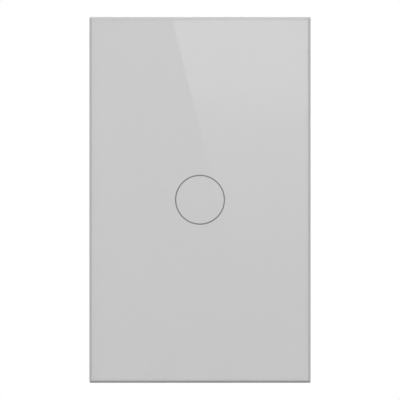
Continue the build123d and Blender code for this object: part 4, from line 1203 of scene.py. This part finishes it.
low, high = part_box("pairing_switch_body")
centre = middle_of("pairing_switch_body")
cover_back = low.y + COVER_THICKNESS
half_x, half_z = (high.x - low.x) / 2, (high.z - low.z) / 2
inner_half = (half_x - BASE_INSET, half_z - BASE_INSET)
base = slab("base", inner_half, (cover_back - FIXED, high.y), (centre.x, centre.z))
cover = soften(block("cover", low, (high.x, cover_back, high.z)), COVER_EDGE)
for plate, finish in ((base, finishes["button_plastic"]), (cover, finishes["switch_steel"])):
    drill(plate, centre.x, centre.z, low.y - BEYOND, high.y - WELL_FLOOR, WELL_RADIUS, 48)
    paint(smooth(plate), finish)
rivet = paint(smooth(lathe("rivet", RIVET_PROFILE, 20)), finishes["button_plastic"])
leg = paint(soften(slab("leg", LEG_HALF, (high.y - LEG_HEIGHT, high.y + FIXED)), LEG_EDGE, 1), tin)
switch_pieces = [base, cover]
for side in (-1, 1):
    for end in (-1, 1):
        z = centre.z + end * RIVET_PLACE
        switch_pieces.append(copy_to(rivet, "rivet", (centre.x + side * RIVET_PLACE, low.y, z)))
        switch_pieces.append(copy_to(leg, "leg", (centre.x + side * LEG_PLACE, 0, z)))
        pad(centre.x / MM + side * LEG_PAD_PLACE, z / MM, LEG_PAD)
discard(rivet, leg)
dress(join("pairing_switch_body_shape", switch_pieces), "pairing_switch_body")

# Round pads and solder: a ring under the touch spring with a pad for its end, camera marks, test points
# and the pins

SPRING_RING, SPRING_RING_BORE, SPRING_END_PAD = 3.9, 2.65, 1.0
CAMERA_MARK, CAMERA_MARKS = 0.5, ((-18.6, 20.6), (18.6, -20.8))
TEST_POINT, TEST_POINTS = 0.6, ((9.5, 19), (12, 19), (14.5, 19), (-16, -9), (-16, -12), (-16, -15))
PIN_PAD = 0.85
PIN_TOP = ((0, -0.42), (0.36, -0.4), (0.4, -0.3))
FILLET_FOOT = ((0.5, -0.15), (0.78, -0.02), (0.78, 0.03), (0, 0.03))
BLOB_PROFILE = in_mm((0, -0.35), (0.35, -0.3), (0.7, -0.12), (0.9, 0.02), (0, 0.02))
BLOB_PLACE = 3.3 * MM

round_pad(0, 0, SPRING_RING, SPRING_RING_BORE)
round_pad(SPRING_RADIUS / MM, 0, SPRING_END_PAD)
for x, z in CAMERA_MARKS:
    round_pad(x, z, CAMERA_MARK)
for x, z in TEST_POINTS:
    round_pad(x, z, TEST_POINT)
pins = centres_of("header_pins")
for pin in pins:
    round_pad(pin.x / MM, pin.z / MM, PIN_PAD)

fillet = smooth(lathe("solder", in_mm(*PIN_TOP, *FILLET_FOOT), 24), 60)
solder = spread(fillet, pins, TOUCH_BOARD_FRONT)
blob = smooth(lathe("solder", BLOB_PROFILE, 32), 60)
solder.append(moved(blob, (BLOB_PLACE, TOUCH_BOARD_FRONT, 0)))

# Tracks: from the resistors to the lamps and the right edge, from the touch chip to the pins, the
# touch pad, the switch and the lamps, and from lamp to lamp

LAMP_TRACK_X = 5.66
MIDDLE_RESISTOR = 2
SHELF_TOP, SHELF_STEP, SHELF_END = 22.4, 0.7, 17.4

for index, (low, high) in enumerate(resistors):
    x, shelf = (low.x + high.x) / 2 / MM, SHELF_TOP - SHELF_STEP * index
    track((x, high.z / MM), (x, 17.2), (x + 1.6, 18.8), (x + 1.6, shelf), (SHELF_END, shelf))
    if index != MIDDLE_RESISTOR:
        side = -1 if index < MIDDLE_RESISTOR else 1
        bend = 0.5 * index
        lamp_x = side * (LAMP_TRACK_X + 0.9) + 0.5 * (index - MIDDLE_RESISTOR)
        lamp_end = (lamp_x, 9.8 - 2 * (index % 2))
        track((x, low.z / MM), (x, 11.6 + bend), (x + 0.9 * side, 10.7 + bend), lamp_end)
for index, pin in enumerate(pins[1:-1]):
    pin_x = pin.x / MM
    chip_x = (index - 2.5) * CONTACT_PITCH / MM
    fan = 0.3 * min(index, 5 - index)
    track((chip_x, -17.2), (chip_x, -17.9 - fan), (pin_x, -19.4 - fan), (pin_x, -21.4))
track((0, -12.0), (0, -9.0), (0, -3.9), width=0.5)
track((2.7, -13.0), (8.2, -13.0), (10.4, -15.2), (10.4, -16.4))
track((2.7, -14.0), (7.4, -14.0), (9.8, -16.4), (9.8, -19.6), (9.9, -19.6))
for side in (-1, 1):
    track((side * 2.7, -12.4), (side * 5.0, -12.4), (side * 6.6, -10.8), (side * 6.6, -6.4))
    track((side * 7.0, -LAMP_TRACK_X), (side * 9.2, -3.5), (side * 9.2, 3.5), (side * 7.0, LAMP_TRACK_X))

# Print: boxes around the chip, the resistors, the header and the switch, with plain numbers

CHIP_BOX, RESISTOR_BOX = (-3.2, -17.7, 3.2, -11.3), (-7.4, 12.9, 7.4, 16.1)
HEADER_BOX, SWITCH_BOX = (-10.5, -22.9, 10.5, -20.0), (9.4, -20.6, 15.6, -15.4)
PIN_NUMBER_X, PIN_NUMBER_Z = 11.3, -21.4
RESISTOR_NUMBER_Z, RESISTOR_NUMBER_SIZE = 11.9, 1.1
CHIP_DOT_X, CHIP_DOT_Z, CHIP_DOT_RADIUS = -3.9, -11.9, 0.3

for box in (CHIP_BOX, RESISTOR_BOX, HEADER_BOX, SWITCH_BOX):
    printed_box(*box)
printed_number("1", -PIN_NUMBER_X, PIN_NUMBER_Z)
printed_number("8", PIN_NUMBER_X, PIN_NUMBER_Z)
for index, middle in enumerate(resistor_middles, start=1):
    printed_number(str(index), middle.x / MM, RESISTOR_NUMBER_Z, RESISTOR_NUMBER_SIZE)
prints.append(disc("print", CHIP_DOT_X, CHIP_DOT_Z, CHIP_DOT_RADIUS, print_depths, 24))

add_on(join("board_pads", pads), "wifi_shield_can", tin)
add_on(join("board_solder", solder), "wifi_shield_can", tin)
add_on(join("board_tracks", tracks), "touch_board", covered_copper)
add_on(join("board_print", prints), "touch_board", black_print)

# Radio module: contacts along its sides, a folded aerial track, and a can with vent holes

MODULE_CONTACTS, CONTACT_STEP, FIRST_CONTACT = 8, 2.0 * MM, 1.4 * MM
HALF_HOLE = 0.4 * MM
MODULE_CONTACT_HALF, MODULE_CONTACT_INSET = (0.44 * MM, 0.5 * MM), 0.86 * MM
AERIAL_STEM, AERIAL_START, AERIAL_LOW, AERIAL_HIGH = -13.8, 19.0, 20.4, 24.2
AERIAL_FOLDS, FIRST_FOLD, FOLD_WIDTH = 5, -12.2, 1.25
VENT_COLUMNS, VENT_ROWS = 4, 5
VENT_RADIUS, VENT_CUT = 0.4 * MM, 0.6 * MM
MODULE_EDGE, SHIELD_EDGE = 0.04 * MM, 0.1 * MM

low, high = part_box("wifi_module_board")
module = merged("wifi_module_board")
contact = slab("contact", MODULE_CONTACT_HALF, (high.y - FIXED, high.y + LAYER))
gilt_pieces = []
for row in range(MODULE_CONTACTS):
    z = low.z + FIRST_CONTACT + row * CONTACT_STEP
    for edge, inwards in ((low.x, 1), (high.x, -1)):
        drill(module, edge, z, low.y - BEYOND, high.y + BEYOND, HALF_HOLE, 24)
        gilt_pieces.append(copy_to(contact, "contact", (edge + inwards * MODULE_CONTACT_INSET, 0, z)))
discard(contact)
aerial = [(AERIAL_STEM, AERIAL_START), (AERIAL_STEM, AERIAL_HIGH)]
for fold in range(AERIAL_FOLDS):
    x, next_x = FIRST_FOLD + 2 * fold * FOLD_WIDTH, FIRST_FOLD + (2 * fold + 1) * FOLD_WIDTH
    aerial += [(x, AERIAL_HIGH), (x, AERIAL_LOW), (next_x, AERIAL_LOW), (next_x, AERIAL_HIGH)]
gilt_pieces += line_of_strips("aerial", aerial, 0.5 * MM, high.y, LAYER, 1)
for piece in gilt_pieces:
    paint(piece, module_gilt)
paint(soften(module, MODULE_EDGE, 1), finishes["module_laminate"])
dress(join("wifi_module_board_shape", [module, *gilt_pieces]), "wifi_module_board")

low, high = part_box("wifi_shield_can")
can = merged("wifi_shield_can")
for column in range(1, VENT_COLUMNS + 1):
    for row in range(1, VENT_ROWS + 1):
        x = low.x + column * (high.x - low.x) / (VENT_COLUMNS + 1)
        z = low.z + row * (high.z - low.z) / (VENT_ROWS + 1)
        drill(can, x, z, high.y - VENT_CUT, high.y + VENT_CUT, VENT_RADIUS, 20)
dress(soften(can, SHIELD_EDGE), "wifi_shield_can")

# Capacitors and fuse: turned cans on the power board

# Shares of a can's radius, and of its height for the places of the crimp
CAN_RIM, CAN_FOOT, CAN_TOP, FUSE_TOP = 0.09, 0.9, 0.78, 0.86
CRIMP_RADIUS, CRIMP_PLACES = 0.93, (0.13, 0.17, 0.21)
SCORE_REACH, SCORE_HALF_WIDTH = 0.6, 0.05

# How far the bare top lies below the rim
TOP_SUNK = 0.12 * MM


def round_can(node, finish, top, top_share, groove=True):
    """A can in a sleeve that turns in over its rim, with a crimped foot and a bare top."""
    low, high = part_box(node)
    radius, height = (high.x - low.x) / 2, high.y - low.y
    rim, top_radius = CAN_RIM * radius, top_share * radius
    profile = [(0, 0), (CAN_FOOT * radius, 0), (radius, rim)]
    if groove:
        crimp_depths = [share * height for share in CRIMP_PLACES]
        profile += zip((radius, CRIMP_RADIUS * radius, radius), crimp_depths)
    profile += [(radius, height - 2 * rim), (radius - 0.5 * rim, height - 0.6 * rim)]
    profile += [(radius - 1.6 * rim, height), (top_radius, height)]
    profile += [(top_radius, height - TOP_SUNK), (0, height - TOP_SUNK)]
    shell = lathe(node + "_shape", profile, 64)
    foot, crest = height - 1.5 * TOP_SUNK, height - 0.8 * TOP_SUNK
    lid = lathe("lid", [(0, foot), (top_radius, foot), (top_radius, crest), (0, crest)], 64)
    if groove:
        reach, half_width = SCORE_REACH * radius, SCORE_HALF_WIDTH * radius
        for half in ((reach, half_width), (half_width, reach)):
            cut(lid, slab("score", half, (height - TOP_SUNK, height + TOP_SUNK)))
    pieces = [paint(smooth(shell), finish), paint(smooth(lid), top)]
    middle = middle_of(node)
    dress(moved(join(node + "_shape", pieces), (middle.x, low.y, middle.z)), node)


round_can("main_capacitor", finishes["capacitor_sleeve"], bare_aluminium, CAN_TOP)
round_can("output_capacitor", finishes["capacitor_sleeve"], bare_aluminium, CAN_TOP)
round_can("fuse", finishes["fuse_case"], finishes["fuse_case"], FUSE_TOP, False)

# Relay winding: turns of wire side by side on the bobbin

WIRE_PITCH, WIRE_DIP = 0.15 * MM, 0.05 * MM
WINDING_BORE = 2.05 * MM

low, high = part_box("relay_winding")
outer = (high.x - low.x) / 2
wraps = int((high.y - low.y) / WIRE_PITCH)
start = low.y + ((high.y - low.y) - wraps * WIRE_PITCH) / 2
profile = [(WINDING_BORE, low.y)]
for wrap in range(wraps):
    depth = start + wrap * WIRE_PITCH
    profile += [(outer - WIRE_DIP, depth), (outer, depth + WIRE_PITCH / 2)]
profile += [(outer - WIRE_DIP, high.y), (WINDING_BORE, high.y)]
coil = smooth(lathe("relay_winding_shape", profile, 48), 70)
middle = middle_of("relay_winding")
dress(moved(coil, (middle.x, 0, middle.z)), "relay_winding")

# Power chips: moulded bodies, with one bent leg copied along their sides

CHIP_LEGS = (4, 2)
BODY_INSET, BODY_LIFT = 0.5 * MM, 0.15 * MM
SHOULDER_HALF, SHOULDER_PLACE = (0.225 * MM, 0.2 * MM), (-0.325 * MM, 0)
SHOULDER_LOW, SHOULDER_HIGH = 0.68 * MM, 0.88 * MM
UPRIGHT_HALF, UPRIGHT_PLACE, UPRIGHT_HIGH = (0.1 * MM, 0.22 * MM), (-0.1 * MM, 0), 0.9 * MM
BENT_LEG_EDGE, BODY_EDGE = 0.04 * MM, 0.12 * MM

power_boxes = boxes_of("power_chips")
seat = power_boxes[0][0].y
shoulder = slab("leg", SHOULDER_HALF, (seat + SHOULDER_LOW, seat + SHOULDER_HIGH), SHOULDER_PLACE)
upright = slab("leg", UPRIGHT_HALF, (seat, seat + UPRIGHT_HIGH), UPRIGHT_PLACE)
leg = join("leg", [paint(soften(part, BENT_LEG_EDGE, 1), tin) for part in (shoulder, upright)])
chip_pieces = []
for (low, high), legs in zip(power_boxes, CHIP_LEGS):
    body_low = (low.x + BODY_INSET, low.y + BODY_LIFT, low.z)
    body = block("body", body_low, (high.x - BODY_INSET, high.y, high.z))
    chip_pieces.append(paint(soften(body, BODY_EDGE), finishes["chip_resin"]))
    rows = [low.z + (high.z - low.z) * (index + 0.5) / legs for index in range(legs)]
    chip_pieces += copies(leg, [(high.x, 0, z) for z in rows])
    chip_pieces += copies(leg, [(low.x, 0, z) for z in rows], HALF_TURN)
discard(leg)
dress(join("power_chips_shape", chip_pieces), "power_chips")

# Rear housing: the CAD shape with a parting groove round its body

PARTING_DEPTH, GROOVE_WIDTH, GROOVE_CUT = 9.6 * MM, 0.4 * MM, 0.3 * MM
BODY_HALF_HEIGHT, BODY_CORNER = 31 * MM, 2 * MM
HOOP_HALF = (30 * MM, 38 * MM)
HOUSING_EDGE = 0.25 * MM

housing = soften(merged("rear_housing"), HOUSING_EDGE)
hoop = slab("hoop", HOOP_HALF, (PARTING_DEPTH, PARTING_DEPTH + GROOVE_WIDTH))
core_half = (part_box("rear_housing")[1].x - GROOVE_CUT, BODY_HALF_HEIGHT - GROOVE_CUT)
core = slab("core", core_half, (PARTING_DEPTH - BEYOND, PARTING_DEPTH + BEYOND))
round_edges(core, lambda edge: runs_along(edge, Y), BODY_CORNER - GROOVE_CUT, 8)
dress(smooth(cut(housing, cut(hoop, core))), "rear_housing")

# Every other CAD node keeps its shape, with its edges rounded, save the flat print and tape layers, which
# only take their finish

USUAL_EDGE, EDGES = 0.08 * MM, {"yoke": 0.12 * MM}
KEPT_FLAT = ("printed_coat", "ring_print", "adhesive_sheet")

for node, cad_object in frame["nodes"].items():
    if node in done:
        continue
    if node in KEPT_FLAT:
        paint(cad_object, finishes[slot_of[node]])
        continue
    dress(soften(merged(node), EDGES.get(node, USUAL_EDGE)), node)

# Floor, room and lamps

FLOOR_HEIGHT, FLOOR_RADIUS = -0.1, 0.5
WHITE_FROM, WHITE_TO = 0.15, 0.42
WHITE = (1.0, 1.0, 1.0, 1.0)


def floor_finish():
    """Pale floor that takes the object's shadow and fades to white away from it."""
    material, tree, shader = new_finish("pale_floor", Roughness=0.7)
    shader.inputs["Base Color"].default_value = (0.86, 0.86, 0.86, 1.0)
    flat = place(tree, (1, 1, 0))
    far = add(tree, "ShaderNodeVectorMath", {0: flat}, operation="LENGTH").outputs["Value"]
    seen = add(tree, "ShaderNodeLightPath").outputs["Is Camera Ray"]
    share = sums(tree, "MULTIPLY", span(tree, far, 0.0, 1.0, WHITE_FROM, WHITE_TO), seen)
    white = add(tree, "ShaderNodeEmission", {"Color": WHITE, "Strength": 1.0})
    mix = add(tree, "ShaderNodeMixShader", {0: share, 1: shader.outputs[0], 2: white.outputs[0]})
    output = next(node for node in tree.nodes if node.type == "OUTPUT_MATERIAL")
    tree.links.new(mix.outputs[0], output.inputs["Surface"])
    return material


alone()
bpy.ops.mesh.primitive_circle_add(
    vertices=96, radius=FLOOR_RADIUS, fill_type="NGON", location=(0, 0, FLOOR_HEIGHT)
)
floor = bpy.context.object
floor.name = "floor"
floor.data.materials.append(floor_finish())
casts_nothing(floor)
floor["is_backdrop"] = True

AMBIENT = 0.3
world = bpy.data.worlds.new("room")
bpy.context.scene.world = world
world.use_nodes = True
room = world.node_tree
room.nodes.clear()
path = add(room, "ShaderNodeLightPath")
direct = sums(room, "MAXIMUM", path.outputs["Is Camera Ray"], path.outputs["Is Glossy Ray"])
direct = sums(room, "MAXIMUM", direct, path.outputs["Is Transmission Ray"])
strength = span(room, direct, AMBIENT, 1.0, 0.0, 1.0)
background = add(room, "ShaderNodeBackground", {"Color": WHITE, "Strength": strength})
add(room, "ShaderNodeOutputWorld", {"Surface": background.outputs[0]})


def lamp(name, azimuth, elevation, distance, size, watts):
    """A soft square lamp aimed at the middle of the object; azimuth 0 is in front."""
    turn, rise = math.radians(azimuth), math.radians(elevation)
    way = Vector((math.sin(turn) * math.cos(rise), -math.cos(turn) * math.cos(rise), math.sin(rise)))
    data = bpy.data.lights.new(name, "AREA")
    data.shape = "SQUARE"
    data.size = size
    data.energy = watts
    light = bpy.data.objects.new(name, data)
    bpy.context.scene.collection.objects.link(light)
    light.location = way * distance
    light.rotation_euler = way.to_track_quat("Z", "Y").to_euler()


lamp("key", 0, 35, 2.4, 1.35, 47.6)
lamp("rear", 180, 38, 1.4, 0.7, 8.0)
lamp("left", -125, 15, 1.2, 0.6, 3.2)
lamp("right", 125, 15, 1.2, 0.6, 3.2)

# Reflector: a soft white card behind the camera, whose slanted left edge shows in the glass

PHOTO_SIZE = 400
PHOTO_PANEL_HEIGHT = 366.5
PHOTO_PANEL_MIDDLE = 199.75
CAMERA_DISTANCE = 1.0
panel_height = glass_high.z - glass_low.z
seen_height = panel_height * PHOTO_SIZE / PHOTO_PANEL_HEIGHT
pixel = seen_height / PHOTO_SIZE

# The corners of the reflection are places on the glass
CARD_DISTANCE = 1.3
REFLECTION_TOP, REFLECTION_LOW, REFLECTION_RIGHT = at(-10.1, 0, 63.0), at(12.2, 0, -25.0), 42 * MM
CARD_GAIN = ((0.0, 0.0), (0.55, 0.25), (0.7, 0.55), (1.0, 0.65))
card_scale = 1 + CARD_DISTANCE / CAMERA_DISTANCE
card_top = REFLECTION_TOP * card_scale
card_low = REFLECTION_LOW * card_scale
card_right = REFLECTION_RIGHT * card_scale


def card_finish():
    """White that is brightest at the top of the card and level with the room at its foot."""
    material = bpy.data.materials.new("reflector_white")
    material.use_nodes = True
    tree = material.node_tree
    tree.nodes.clear()
    height = add(tree, "ShaderNodeSeparateXYZ", {"Vector": place(tree)}).outputs["Z"]
    share = span(tree, height, 0.0, 1.0, card_low.z, card_top.z)
    gain = ramp(tree, share, *((position, shade((value,) * 3)) for position, value in CARD_GAIN))
    strength = sums(tree, "ADD", gain, 1.0)
    glow = add(tree, "ShaderNodeEmission", {"Color": WHITE, "Strength": strength})
    add(tree, "ShaderNodeOutputMaterial", {"Surface": glow.outputs[0]})
    return material


alone()
bpy.ops.mesh.primitive_plane_add(size=2, rotation=(math.pi / 2, 0, 0))
card = settle("reflector")
corners = {
    (-1, 1): (card_top.x, card_top.z),
    (1, 1): (card_right, card_top.z),
    (-1, -1): (card_low.x, card_low.z),
    (1, -1): (card_right, card_low.z),
}
for vertex in card.data.vertices:
    x, z = corners[(round(vertex.co.x), round(vertex.co.z))]
    vertex.co = (x, glass_low.y - CARD_DISTANCE, z)
card.data.materials.append(card_finish())
card.visible_camera = False
casts_nothing(card)
card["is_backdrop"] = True

# Camera, square to the front

camera_data = bpy.data.cameras.new("camera")
camera_data.sensor_width = 36.0
camera_data.lens = camera_data.sensor_width * CAMERA_DISTANCE / seen_height
camera = bpy.data.objects.new("camera", camera_data)
bpy.context.scene.collection.objects.link(camera)
camera.location = (0, glass_low.y - CAMERA_DISTANCE, (PHOTO_PANEL_MIDDLE - PHOTO_SIZE / 2) * pixel)
camera.rotation_euler = (math.pi / 2, 0, 0)
bpy.context.scene.camera = camera
bpy.context.scene.view_settings.view_transform = "Standard"

low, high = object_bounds()
